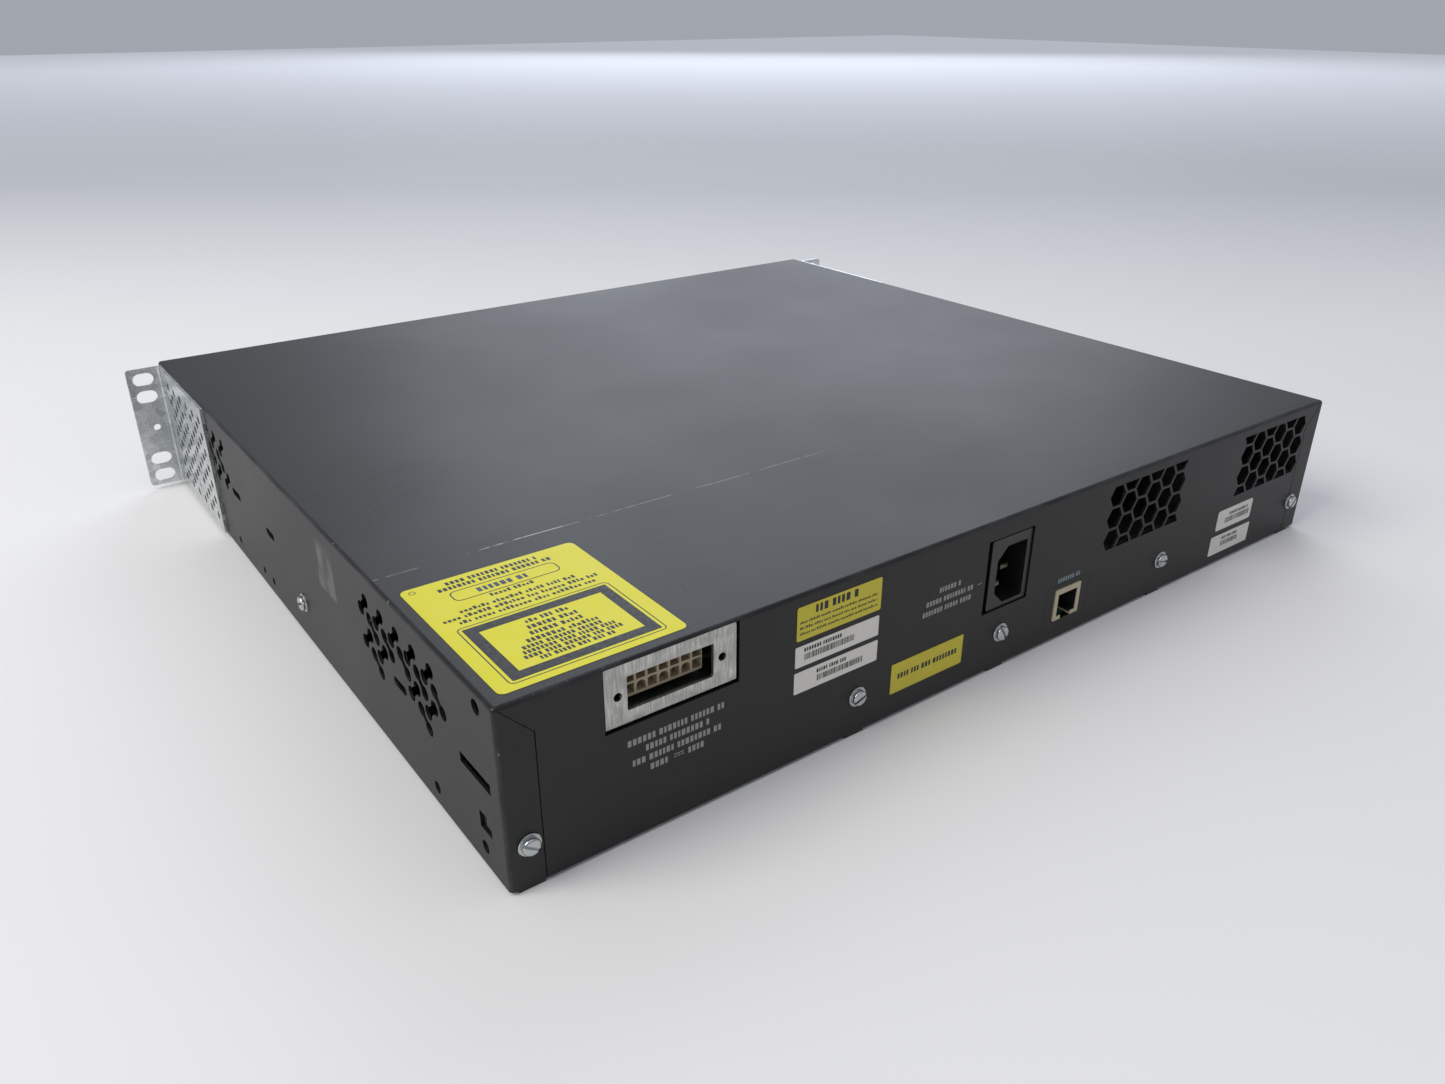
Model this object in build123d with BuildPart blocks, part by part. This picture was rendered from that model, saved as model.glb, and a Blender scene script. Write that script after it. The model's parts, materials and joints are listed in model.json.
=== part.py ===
"""Rack-mount network appliance, 1.5 rack units high: a wrap-around steel cover over a base pan,
with a power supply, two radial blowers, a remote DC input and module slots in the front.

Frame: +X to the right seen from the front, +Y to the rear, +Z up. The origin is at the middle of
the underside. Heights on the walls are counted from the cover's lower edge.
"""

from build123d import *
import math
import os

os.makedirs("parts", exist_ok=True)

# ---------------------------------------------------------------- driving dimensions
case_width = 445.0
case_depth = 404.0
cover_height = 66.7
foot_height = 1.5
cover_sheet = 1.0
pan_sheet = 1.2
bend_radius = 1.5
fit_gap = 0.3
board_thickness = 1.6
board_top = 10.3

half_width = case_width / 2
half_depth = case_depth / 2
cover_top = foot_height + cover_height
ceiling = cover_top - cover_sheet
board_bottom = board_top - board_thickness
wall_inside = half_width - cover_sheet
rear_inside = half_depth - cover_sheet

# The rear wall's plane: across from the +X corner, and up from the cover's lower edge.
rear_plane = Plane(origin=(half_width, half_depth, foot_height), x_dir=(-1, 0, 0), z_dir=(0, 1, 0))
# The +X wall's plane: back from the front edge, and up from the cover's lower edge.
side_plane = Plane(origin=(half_width, -half_depth, foot_height), x_dir=(0, 1, 0), z_dir=(1, 0, 0))

# Cover screws along the rear wall, and one in each side wall.
rear_screw_places = [(7.5, 15.6), (139.8, 15.6), (216.9, 15.6), (324.4, 15.6), (434.3, 15.6)]
side_screw_place = (221.0, 18.3)
screw_clear_radius = 2.2
screw_shank_radius = 1.9
screw_washer_radius = 4.0
screw_head_radius = 3.1
screw_head_height = 2.5

# Remote DC input, at the +X end of the rear wall.
dc_plate_left, dc_plate_right = 35.8, 85.0
dc_plate_bottom, dc_plate_top = 43.5, 65.5
dc_centre = (60.0, 54.6)
dc_plate_face = half_depth - 0.4
dc_connector_width, dc_connector_height = 29.4, 9.6
dc_connector_face = dc_plate_face - 4.6
dc_pin_pitch = 4.2

# Mains inlet, upright, with its cut corners towards -X.
inlet_panel_left, inlet_panel_right = 204.5, 230.8
inlet_panel_bottom, inlet_panel_top = 27.0, 58.8
inlet_flange_left, inlet_flange_right = 207.5, 230.5
inlet_flange_bottom, inlet_flange_top = 27.4, 57.8
inlet_centre = (219.75, 41.4)
inlet_cavity_width, inlet_cavity_height = 16.6, 24.6
inlet_face = half_depth - 0.7

# Console jack.
console_left, console_right = 250.3, 266.6
console_bottom, console_top = 8.8, 23.3
console_face = half_depth + 0.4
console_panel_left, console_panel_right = 245.0, 271.9
console_panel_bottom, console_panel_top = 3.4, 25.6
console_panel_gap = 0.1

# Blowers: centre of each round scroll, across the rear wall, and the vent in front of its outlet.
blower_across = (291.0, 390.0)
blower_depth_centre = 152.0
blower_floor = 32.8
blower_height = 33.0
scroll_radius = 42.0
scroll_wall = 2.0
outlet_width = 54.0
hex_pitch = 10.15
hex_flat = 8.95
hex_column_pitch = 8.85
vent_columns = 6
vent_first_columns = (283.5, 382.4)
vent_bottom, vent_top = 32.7, 62.2

# Front: module slots in two rows of five.
slot_pitch = 40.0
slot_columns = [slot_pitch * column for column in range(-3, 2)]
slot_rows = (12.0, 30.0)
slot_width, slot_height = 33.2, 15.0
mouth = -half_depth + 4.2
cage_depth = 64.0
cage_half_width = 18.5
cage_back_wall = 2.0
cage_roof = 2.3
door_thickness = 1.2
door_length = 13.0
door_knuckle = 1.3
door_pin_radius = 0.8
pivot_back = 3.0
pivot_drop = 1.6
copper_places = (82.0, 98.0)
bezel_face = -half_depth - 2.5
bezel_back = -half_depth + 0.3
collar_back = -half_depth + 2.6
front_wall = -half_depth + 2.8
led_board_front = -191.6
led_row = 52.0
slot_led_offset = 8.0
system_led_places = [(-175.0 + 8.0 * n, 57.0) for n in range(4)]
slot_led_places = [(column + side * slot_led_offset, led_row) for column in slot_columns for side in (-1, 1)]
copper_led_places = [(place, led_row) for place in copper_places]
led_places = slot_led_places + copper_led_places + system_led_places
button_place = (-190.0, 57.0)
front_vent_centre = (164.0, 36.0)
front_vent_pitch = (9.0, 12.0)
front_vent_count = (9, 4)
front_vent_length, front_vent_width = 6.0, 3.0

# Rack ears.
rack_width = 481.0
ear_sheet = 1.5
ear_rear_face = -half_depth + 7.5
ear_length = 93.0
ear_bottom, ear_top = 1.0, 66.2
slot_spacing = 465.1
slot_outer_offset, slot_inner_offset = 26.99, 17.46
ear_slot_length, ear_slot_width = 10.3, 6.8
ear_middle = foot_height + cover_height / 2
# Ear screws: back from the front edge, and up from the cover's lower edge.
ear_screw_places = [(13.5, 14.0), (13.5, 53.0), (55.0, 14.0), (55.0, 53.0)]


# ---------------------------------------------------------------- shared helpers
def block(low, high, mode=Mode.ADD):
    """Add or remove the box between two opposite corners in the part being built."""
    with Locations(tuple((a + b) / 2 for a, b in zip(low, high))):
        Box(*[b - a for a, b in zip(low, high)], mode=mode)


def post(place, bottom, top, radius, mode=Mode.ADD):
    """Add or remove an upright cylinder in the part being built."""
    with Locations((place[0], place[1], (bottom + top) / 2)):
        Cylinder(radius, top - bottom, mode=mode)


def across(u):
    """X of a point on the rear wall that is u from the +X corner."""
    return half_width - u


def rear_plane_at(depth):
    """The rear wall's plane, moved to a connector's face at that depth."""
    return Plane((half_width, depth, foot_height), (-1, 0, 0), (0, 1, 0))


def corner_radii(points):
    """Radii of the arcs at a lead's inner corners: 0.45 of the shorter run over tan(half the turn)."""
    radii = []
    for before, here, after in zip(points, points[1:], points[2:]):
        run_in = Vector(*here) - Vector(*before)
        run_out = Vector(*after) - Vector(*here)
        half_turn = math.radians(run_in.get_angle(run_out)) / 2
        radii.append(0.45 * min(run_in.length, run_out.length) / math.tan(half_turn))
    return radii


def lead(points, radius):
    """A round lead along straight runs joined by tangent arcs."""
    with BuildPart() as tube:
        with BuildLine() as route:
            FilletPolyline(*points, radius=corner_radii(points))
        with BuildSketch(Plane(origin=route.line @ 0, z_dir=route.line % 0)):
            Circle(radius)
        sweep()
    print("lead radii", [round(r, 1) for r in corner_radii(points)], "volume", round(tube.part.volume, 1))
    return tube.part


# ---------------------------------------------------------------- outlines cut in the sheet metal
def hex_vent(first_column, first_phase):
    """Flat-topped hexagons in staggered columns, trimmed by the vent's upper and lower edges."""
    middle = (vent_bottom + vent_top) / 2
    middle_column = first_column + (vent_columns - 1) / 2 * hex_column_pitch
    with BuildSketch(rear_plane) as vent:
        for column in range(vent_columns):
            shift = 0 if (column + first_phase) % 2 else hex_pitch / 2
            places = [(first_column + column * hex_column_pitch, middle + shift + row * hex_pitch)
                      for row in (-2, -1, 0, 1)]
            with Locations(*places):
                RegularPolygon(hex_flat / 2, 6, major_radius=False)
        with Locations((middle_column, middle)):
            Rectangle(2 * vent_columns * hex_column_pitch, vent_top - vent_bottom, mode=Mode.INTERSECT)
    return vent.sketch


def rear_openings():
    """DC input, mains inlet, console jack and cover screws."""
    with BuildSketch(rear_plane) as openings:
        for left, right, bottom, top in (
            (dc_plate_left - 0.5, dc_plate_right + 1.0, dc_plate_bottom - 0.7, cover_height - cover_sheet),
            (inlet_panel_left, inlet_panel_right, inlet_panel_bottom, inlet_panel_top),
            (console_panel_left, console_panel_right, console_panel_bottom, console_panel_top),
        ):
            with Locations(((left + right) / 2, (bottom + top) / 2)):
                Rectangle(right - left, top - bottom)
        with Locations(*rear_screw_places):
            Circle(screw_clear_radius)
    return openings.sketch


def dumbbell(start, end, bead=2.75, neck=3.0):
    """Two round holes joined by a narrower slot."""
    with BuildSketch(side_plane) as hole:
        with Locations(start, end):
            Circle(bead)
        middle = ((start[0] + end[0]) / 2, (start[1] + end[1]) / 2)
        length = math.dist(start, end)
        angle = math.degrees(math.atan2(end[1] - start[1], end[0] - start[0]))
        with Locations(middle):
            Rectangle(length, neck, rotation=angle)
    return hole.sketch


def side_vents():
    """The intake of leaning dumbbells in the rear half of the wall, and one more behind the ear."""
    pitch = 13.8
    upper_rise = [((298 + pitch * n, 51), (303.5 + pitch * n, 56)) for n in range(5)]
    upper_fall = [((305.5 + pitch * n, 49.5), (310.5 + pitch * n, 44.3)) for n in range(5)]
    lower_rise = [((298 + pitch * n, 37.5), (303.8 + pitch * n, 42.3)) for n in (0, 1, 3, 4)]
    lower_fall = [((305.5 + pitch * n, 35.5), (310.5 + pitch * n, 30.5)) for n in (0, 3)]
    front_rise = [((86 + pitch * n, 51), (91.5 + pitch * n, 56)) for n in range(3)]
    front_fall = [((93.5 + pitch * n, 47.5), (98.5 + pitch * n, 42.3)) for n in range(2)]
    front_low = [((86 + pitch * n, 34.5), (91.8 + pitch * n, 39.3)) for n in range(3)]
    groups = (upper_rise, upper_fall, lower_rise, lower_fall, front_rise, front_fall, front_low)
    return [dumbbell(start, end) for group in groups for start, end in group]


def side_slots():
    """Straight slots and round holes spread along the side wall."""
    with BuildSketch(side_plane) as slots:
        for left, right, height, width in ((323, 334, 34.5, 3.5), (124, 137, 35.0, 3.5), (177, 188, 34.5, 3.5)):
            with Locations(((left + right) / 2, height)):
                SlotOverall(right - left, width)
        with Locations((386.5, 34.5)):
            Rectangle(21, 4)
        with Locations((392.5, 61.5)):
            Circle(2.6)
    return slots.sketch


def low_side_holes():
    """Holes that pass through the side wall and the pan's flange behind it."""
    with BuildSketch(side_plane) as holes:
        with Locations((352, 7), (388.5, 7.5)):
            Circle(2.3)
        with Locations((119, 7), (158, 7), (172, 7)):
            Circle(1.75)
        with Locations((389, 17.75)):
            Rectangle(5, 6.5)
        with Locations((392, 16.25)):
            Rectangle(5, 3.5)
    return holes.sketch


# ---------------------------------------------------------------- top cover
with BuildPart() as top_cover:
    with BuildSketch(Plane.XY.offset(foot_height)):
        Rectangle(case_width, case_depth)
    extrude(amount=cover_height)
    top_edges = top_cover.edges().group_by(Axis.Z)[-1].sort_by(Axis.Y)[1:]
    rear_corners = top_cover.edges().filter_by(Axis.Z).group_by(Axis.Y)[-1]
    fillet(top_edges + rear_corners, radius=bend_radius)
    block((-wall_inside, -half_depth, foot_height), (wall_inside, rear_inside, ceiling), Mode.SUBTRACT)
    extrude(rear_openings(), amount=-2 * cover_sheet, mode=Mode.SUBTRACT)
    for first_column, phase in zip(vent_first_columns, (1, 0)):
        extrude(hex_vent(first_column, phase), amount=-2 * cover_sheet, mode=Mode.SUBTRACT)
    for vent_hole in side_vents():
        extrude(vent_hole, amount=-case_width, mode=Mode.SUBTRACT)
    extrude(side_slots(), amount=-case_width, mode=Mode.SUBTRACT)
    extrude(low_side_holes(), amount=-case_width, mode=Mode.SUBTRACT)
    with BuildSketch(side_plane):
        with Locations(side_screw_place):
            Circle(screw_clear_radius)
        with Locations(*ear_screw_places):
            Circle(screw_shank_radius + 0.1)
    extrude(amount=-case_width, mode=Mode.SUBTRACT)
    # The console jack looks out through a small plate let into the rear wall.
    block((across(console_panel_right - console_panel_gap), rear_inside,
           foot_height + console_panel_bottom + console_panel_gap),
          (across(console_panel_left + console_panel_gap), half_depth,
           foot_height + console_panel_top - console_panel_gap))
    block((across(console_right + 0.4), rear_inside - 0.1, foot_height + console_bottom - 0.4),
          (across(console_left - 0.4), half_depth + 0.1, foot_height + console_top + 0.6), Mode.SUBTRACT)
    # The side walls' flanges wrap on to the rear: a mitred seam at each end.
    with BuildSketch(rear_plane):
        for end, inwards in ((0, 1), (case_width, -1)):
            with BuildLine():
                Polyline((end + inwards * 1.5, cover_height - 0.8), (end + inwards * 12.3, 54.5),
                         (end + inwards * 12.3, 0))
            trace(line_width=0.4)
    extrude(amount=-0.5, mode=Mode.SUBTRACT)
top_cover.part.label = "top_cover"
export_step(top_cover.part, "parts/top_cover.step")

# ---------------------------------------------------------------- base pan
pan_half_width = wall_inside - fit_gap
pan_rear = rear_inside - fit_gap
pan_front = front_wall
pan_flange_top = foot_height + 22.5
pressed_half_width = 200.0
pressed_half_depth = 182.0
nib_width = 9.0
nib_depth = 4.0
front_nib_places = (10.0, 150.0, 295.0, 435.0)
pan_console_centre = ((console_left + console_right) / 2, 12.3)
pan_console_width, pan_console_height = 60.0, 22.6
pan_light_radius = 1.6
pan_button_radius = 3.6
pan_copper_width, pan_copper_height = 32.6, 15.6
pan_slot_margin = 0.6
module_area_centre = ((slot_columns[0] + slot_columns[-1]) / 2, (slot_rows[0] + slot_rows[1] + slot_height) / 2)
module_area_width = slot_columns[-1] - slot_columns[0] + slot_width
module_area_height = slot_rows[1] - slot_rows[0] + slot_height

with BuildPart() as base_pan:
    block((-pan_half_width, pan_front, foot_height), (pan_half_width, pan_rear, pan_flange_top))
    block((-pan_half_width, pan_front, foot_height), (pan_half_width, pan_front + pan_sheet, ceiling - 0.5))
    block((-pan_half_width + pan_sheet, pan_front + pan_sheet, foot_height + pan_sheet),
          (pan_half_width - pan_sheet, pan_rear - pan_sheet, ceiling), Mode.SUBTRACT)
    # The floor is pressed down in the middle, and stands on the pressed part.
    block((-pressed_half_width, -pressed_half_depth, 0),
          (pressed_half_width, pressed_half_depth, foot_height))
    block((-pressed_half_width + pan_sheet, -pressed_half_depth + pan_sheet, pan_sheet),
          (pressed_half_width - pan_sheet, pressed_half_depth - pan_sheet, foot_height + pan_sheet),
          Mode.SUBTRACT)
    for place, _ in rear_screw_places:
        block((across(place) - nib_width / 2, rear_inside - nib_depth, 0),
              (across(place) + nib_width / 2, half_depth - 0.4, foot_height))
    for place in front_nib_places:
        block((across(place) - nib_width / 2, pan_front, 0),
              (across(place) + nib_width / 2, pan_front + nib_depth, foot_height))
    extrude(low_side_holes(), amount=-case_width, mode=Mode.SUBTRACT)
    with BuildSketch(rear_plane):
        with Locations(*rear_screw_places):
            Circle(screw_shank_radius + 0.1)
        with Locations(pan_console_centre):
            Rectangle(pan_console_width, pan_console_height)
    extrude(amount=-nib_depth, mode=Mode.SUBTRACT)
    with BuildSketch(side_plane):
        with Locations(side_screw_place, ear_screw_places[0], ear_screw_places[2]):
            Circle(screw_shank_radius + 0.1)
    extrude(amount=-case_width, mode=Mode.SUBTRACT)
    # Openings in the front wall for modules, jacks, light pipes and the button.
    front_sketch_plane = Plane(origin=(0, front_wall, 0), x_dir=(1, 0, 0), z_dir=(0, -1, 0))
    with BuildSketch(front_sketch_plane):
        with Locations(module_area_centre):
            Rectangle(module_area_width + pan_slot_margin, module_area_height + pan_slot_margin)
        with Locations((sum(copper_places) / 2, board_top + pan_copper_height / 2 - 0.3)):
            Rectangle(pan_copper_width, pan_copper_height)
        with Locations(*led_places):
            Circle(pan_light_radius)
        with Locations(button_place):
            Circle(pan_button_radius)
        with GridLocations(*front_vent_pitch, *front_vent_count):
            with Locations(front_vent_centre):
                SlotOverall(front_vent_length, front_vent_width)
    extrude(amount=-2 * pan_sheet, mode=Mode.SUBTRACT)
base_pan.part.label = "base_pan"
export_step(base_pan.part, "parts/base_pan.step")

# ---------------------------------------------------------------- front bezel
bezel_half_width = wall_inside - 0.6
bezel_bottom, bezel_top = foot_height + 0.5, ceiling - 0.8
bezel_plane = Plane(origin=(0, bezel_face, 0), x_dir=(1, 0, 0), z_dir=(0, -1, 0))
lead_in = 1.3
rim = 2.0
window_width, window_height = slot_width - 0.4, slot_height - 1.6
collar_bottom, collar_top, copper_collar_top = 8.5, 47.5, 27.5
collar_half_width = 18.6
copper_collar = (copper_places[0] - 10.0, copper_places[1] + 10.0)
bezel_light_radius = 1.25
bezel_button_radius = 3.2
bezel_seam = 0.1

with BuildPart() as front_bezel:
    block((-bezel_half_width, bezel_face, bezel_bottom), (bezel_half_width, collar_back, bezel_top))
    fillet(front_bezel.edges().group_by(Axis.Y)[0], radius=1.0)
    block((-bezel_half_width + rim, bezel_back, bezel_bottom + rim),
          (bezel_half_width - rim, collar_back, bezel_top - rim), Mode.SUBTRACT)
    # A collar round every module slot and round the pair of jacks carries on to the front wall.
    for column in slot_columns:
        block((column - collar_half_width, bezel_back, collar_bottom),
              (column + collar_half_width, collar_back, collar_top))
    block((copper_collar[0], bezel_back, collar_bottom), (copper_collar[1], collar_back, copper_collar_top))
    with BuildSketch(bezel_plane):
        for column in slot_columns:
            for row in slot_rows:
                with Locations((column, row + slot_height / 2)):
                    Rectangle(window_width, window_height)
        for place in copper_places:
            with Locations((place, board_top + 6.3)):
                Rectangle(12.4, 9.4)
            with Locations((place, board_top + 11.8)):
                Rectangle(6.4, 2.8)
        with Locations(*led_places):
            Circle(bezel_light_radius)
        with Locations(button_place):
            Circle(bezel_button_radius)
        with GridLocations(*front_vent_pitch, *front_vent_count):
            with Locations(front_vent_centre):
                SlotOverall(front_vent_length, front_vent_width)
    extrude(amount=bezel_face - collar_back - 1, mode=Mode.SUBTRACT)
    # Shallow frame round each slot, open to the front.
    with BuildSketch(bezel_plane):
        for column in slot_columns:
            for row in slot_rows:
                with Locations((column, row + slot_height / 2)):
                    RectangleRounded(slot_width + lead_in, window_height + lead_in, 1.2)
    extrude(amount=-0.8, mode=Mode.SUBTRACT)
    # The moulding comes apart into rails and uprights along the edges of the slots.
    rails_left = slot_columns[0] - window_width / 2
    rails_right = slot_columns[-1] + window_width / 2
    for row in slot_rows:
        for edge in (-window_height / 2, window_height / 2):
            seam_height = row + slot_height / 2 + edge
            block((rails_left, bezel_face - 1, seam_height - bezel_seam / 2),
                  (rails_right, collar_back + 1, seam_height + bezel_seam / 2), Mode.SUBTRACT)
    for seam in (rails_left, rails_right):
        block((seam - bezel_seam / 2, bezel_face - 1, 0), (seam + bezel_seam / 2, collar_back + 1, cover_top),
              Mode.SUBTRACT)
front_bezel.part.label = "front_bezel"
export_step(front_bezel.part, "parts/front_bezel.step")

# ---------------------------------------------------------------- screws
def washer_screw(washer_radius, head_radius, head_height, shank_radius, shank_length):
    """A slotted pan-head screw with its washer, which lies on the XY plane."""
    with BuildPart() as screw:
        Cylinder(washer_radius, 0.3 * head_height, align=(Align.CENTER, Align.CENTER, Align.MIN))
        chamfer(screw.edges().group_by(Axis.Z)[-1], length=0.1 * head_height)
        Cylinder(head_radius, head_height, align=(Align.CENTER, Align.CENTER, Align.MIN))
        fillet(screw.edges().group_by(Axis.Z)[-1], radius=0.4 * head_height)
        with Locations((0, 0, head_height)):
            Box(3 * head_radius, 0.32 * head_radius, 1.1 * head_height, mode=Mode.SUBTRACT)
        Cylinder(shank_radius, shank_length, align=(Align.CENTER, Align.CENTER, Align.MAX))
    return screw.part


def flush_screw(head_radius, head_depth, shank_radius, shank_length):
    """A countersunk screw with a cross, its head ending at the XY plane."""
    with BuildPart() as screw:
        Cone(shank_radius, head_radius, head_depth, align=(Align.CENTER, Align.CENTER, Align.MAX))
        Cylinder(shank_radius, shank_length, align=(Align.CENTER, Align.CENTER, Align.MAX))
        Box(1.2 * head_radius, 0.7, 2, mode=Mode.SUBTRACT)
        Box(0.7, 1.2 * head_radius, 2, mode=Mode.SUBTRACT)
    return screw.part


cover_screw = washer_screw(screw_washer_radius, screw_head_radius, screw_head_height, screw_shank_radius, 8.0)
slot_turns = (35, -20, 60, 12, -50)
with BuildPart() as cover_screws:
    for (u, z), turn in zip(rear_screw_places, slot_turns):
        slot_line = (math.cos(math.radians(turn)), 0, math.sin(math.radians(turn)))
        with Locations(Plane(rear_plane.from_local_coords((u, z, 0)), slot_line, (0, 1, 0))):
            add(cover_screw)
    for side in (1, -1):
        side_screw = (side * half_width, side_screw_place[0] - half_depth, side_screw_place[1] + foot_height)
        with Locations(Plane(side_screw, (0, 0.9, 0.4), (side, 0, 0))):
            add(cover_screw)
cover_screws.part.label = "cover_screws"
export_step(cover_screws.part, "parts/cover_screws.step")

# ---------------------------------------------------------------- rack ears
ear_outer = half_width + ear_sheet
ear_flange_front = ear_rear_face - ear_sheet
perforation_pitch_y, perforation_pitch_z = 12.6, 8.4
perforation_radius = 2.0
perforation_centre = 54.0
ear_screw_head_radius = 3.4


def perforations():
    """Staggered round holes over the ear's side plate, leaving room for the screws."""
    places = []
    for column in range(-5, 6):
        count = 7 if column % 2 else 6
        for row in range(count):
            place = (perforation_centre + column * perforation_pitch_y / 2,
                     cover_height / 2 + (row - (count - 1) / 2) * perforation_pitch_z)
            if min(math.dist(place, screw) for screw in ear_screw_places) > 6.5:
                places.append(place)
    return places


with BuildPart() as rack_ear_right:
    block((half_width, ear_flange_front, foot_height + ear_bottom),
          (ear_outer, -half_depth + ear_length, foot_height + ear_top))
    block((half_width, ear_flange_front, foot_height + ear_bottom),
          (rack_width / 2, ear_rear_face, foot_height + ear_top))
    uprights = rack_ear_right.edges().filter_by(Axis.Z)
    fillet(uprights.sort_by_distance((ear_outer, ear_rear_face, ear_middle))[0], radius=1.0)
    uprights = rack_ear_right.edges().filter_by(Axis.Z)
    fillet(uprights.sort_by_distance((half_width, ear_flange_front, ear_middle))[0], radius=1.4)
    fillet(rack_ear_right.edges().filter_by(Axis.Y).group_by(Axis.X)[-1], radius=2.0)
    # Rack slots, and a small hole half way up the flange.
    with BuildSketch(Plane(origin=(0, ear_rear_face, ear_middle), x_dir=(1, 0, 0), z_dir=(0, -1, 0))):
        offsets = (slot_outer_offset, slot_inner_offset, -slot_inner_offset, -slot_outer_offset)
        with Locations(*[(slot_spacing / 2, offset) for offset in offsets]):
            SlotOverall(ear_slot_length, ear_slot_width)
        with Locations((slot_spacing / 2 - 1.5, 0)):
            Circle(1.8)
    extrude(amount=2 * ear_sheet, mode=Mode.SUBTRACT)
    with BuildSketch(side_plane.offset(ear_sheet)):
        with Locations(*perforations()):
            Circle(perforation_radius)
    extrude(amount=-ear_sheet, mode=Mode.SUBTRACT)
    for v, z in ear_screw_places:
        with Locations(Plane(side_plane.offset(ear_sheet).from_local_coords((v, z, 0)), z_dir=(1, 0, 0))):
            Cone(screw_clear_radius, ear_screw_head_radius + 0.1, ear_sheet,
                 align=(Align.CENTER, Align.CENTER, Align.MAX), mode=Mode.SUBTRACT)
rack_ear_right.part.label = "rack_ear_right"
export_step(rack_ear_right.part, "parts/rack_ear_right.step")

with BuildPart() as rack_ear_left:
    mirror(rack_ear_right.part, about=Plane.YZ)
rack_ear_left.part.label = "rack_ear_left"
export_step(rack_ear_left.part, "parts/rack_ear_left.step")

ear_screw = flush_screw(ear_screw_head_radius, 1.3, screw_shank_radius, 6.0)
with BuildPart() as ear_screws:
    for v, z in ear_screw_places:
        for side in (1, -1):
            with Locations(Plane((side * ear_outer, v - half_depth, z + foot_height), z_dir=(side, 0, 0))):
                add(ear_screw)
ear_screws.part.label = "ear_screws"
export_step(ear_screws.part, "parts/ear_screws.step")

# ---------------------------------------------------------------- remote DC input
bracket_low, bracket_high = across(dc_plate_right), across(dc_plate_left)
dc_shelf_bottom = foot_height + dc_plate_bottom
dc_shelf_top = dc_shelf_bottom + pan_sheet
dc_shelf_front = 150.0
dc_foot_front = 138.0
dc_board_top = foot_height + dc_centre[1] - dc_connector_height / 2
dc_board_places = [(144, 156), (180, 156), (144, 187), (180, 187)]
dc_cell_depth = 9.0
dc_cell = 3.4
dc_body_depth = 14.0
dc_columns = 7
dc_window_width, dc_window_height = 32.2, 12.2
dc_window_centre = (59.9, 54.6)
dc_screw_places = [(40.5, 54.6), (79.4, 54.6)]
dc_screw_radius = 1.5

with BuildPart() as dc_input_bracket:
    block((bracket_low, dc_plate_face - pan_sheet, dc_shelf_bottom),
          (bracket_high, dc_plate_face, foot_height + dc_plate_top))
    fillet(dc_input_bracket.edges().filter_by(Axis.Y).group_by(Axis.Z)[-1], radius=0.8)
    block((bracket_low, dc_shelf_front, dc_shelf_bottom), (bracket_high, dc_plate_face, dc_shelf_top))
    fillet(dc_input_bracket.edges().filter_by(Axis.X).group_by(Axis.Z)[0].sort_by(Axis.Y)[-1], radius=1.0)
    block((bracket_low, dc_shelf_front, pan_sheet), (bracket_high, dc_shelf_front + pan_sheet, dc_shelf_top))
    block((bracket_low, dc_foot_front, pan_sheet), (bracket_high, dc_shelf_front + pan_sheet, 2 * pan_sheet))
    with BuildSketch(rear_plane):
        with Locations(dc_window_centre):
            RectangleRounded(dc_window_width, dc_window_height, 0.6)
        with Locations(*dc_screw_places):
            Circle(dc_screw_radius)
    extrude(amount=-4, mode=Mode.SUBTRACT)
dc_input_bracket.part.label = "dc_input_bracket"
export_step(dc_input_bracket.part, "parts/dc_input_bracket.step")

with BuildPart() as dc_connector_housing:
    dc_half = dc_connector_width / 2
    block((across(dc_centre[0] + dc_half), dc_connector_face - dc_body_depth, dc_board_top),
          (across(dc_centre[0] - dc_half), dc_connector_face, dc_board_top + dc_connector_height))
    fillet(dc_connector_housing.edges().filter_by(Axis.Y), radius=0.5)
    block((across(dc_centre[0] + 3), dc_connector_face - 12, dc_board_top + dc_connector_height),
          (across(dc_centre[0] - 3), dc_connector_face - 3, dc_board_top + dc_connector_height + 1))
    # Two rows of cells, every other one in the lower row with a rounded top.
    with BuildSketch(rear_plane_at(dc_connector_face)):
        for column in range(dc_columns):
            u = dc_centre[0] + (column - (dc_columns - 1) / 2) * dc_pin_pitch
            low = dc_centre[1] - dc_pin_pitch / 2
            with Locations((u, dc_centre[1] + dc_pin_pitch / 2)):
                Rectangle(dc_cell, dc_cell)
            if column % 2:
                with Locations((u, low)):
                    Circle(dc_cell / 2)
                with Locations((u, low - dc_cell / 4)):
                    Rectangle(dc_cell, dc_cell / 2)
            else:
                with Locations((u, low)):
                    Rectangle(dc_cell, dc_cell)
    extrude(amount=-dc_cell_depth, mode=Mode.SUBTRACT)
dc_connector_housing.part.label = "dc_connector_housing"
export_step(dc_connector_housing.part, "parts/dc_connector_housing.step")

with BuildPart() as dc_connector_pins:
    pins_plane = Plane((across(dc_centre[0]), dc_connector_face - dc_cell_depth, foot_height + dc_centre[1]),
                       (-1, 0, 0), (0, 1, 0))
    with Locations(pins_plane):
        with GridLocations(dc_pin_pitch, dc_pin_pitch, dc_columns, 2):
            Cylinder(0.75, 7.0, align=(Align.CENTER, Align.CENTER, Align.MIN))
    fillet(dc_connector_pins.edges().group_by(Axis.Y)[-1], radius=0.4)
dc_connector_pins.part.label = "dc_connector_pins"
export_step(dc_connector_pins.part, "parts/dc_connector_pins.step")

with BuildPart() as dc_input_board:
    block((140, 153, dc_board_top - board_thickness), (184, 191, dc_board_top))
    for place in dc_board_places:
        post(place, dc_board_top - 2, dc_board_top, 1.6, Mode.SUBTRACT)
dc_input_board.part.label = "dc_input_board"
export_step(dc_input_board.part, "parts/dc_input_board.step")

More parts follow.
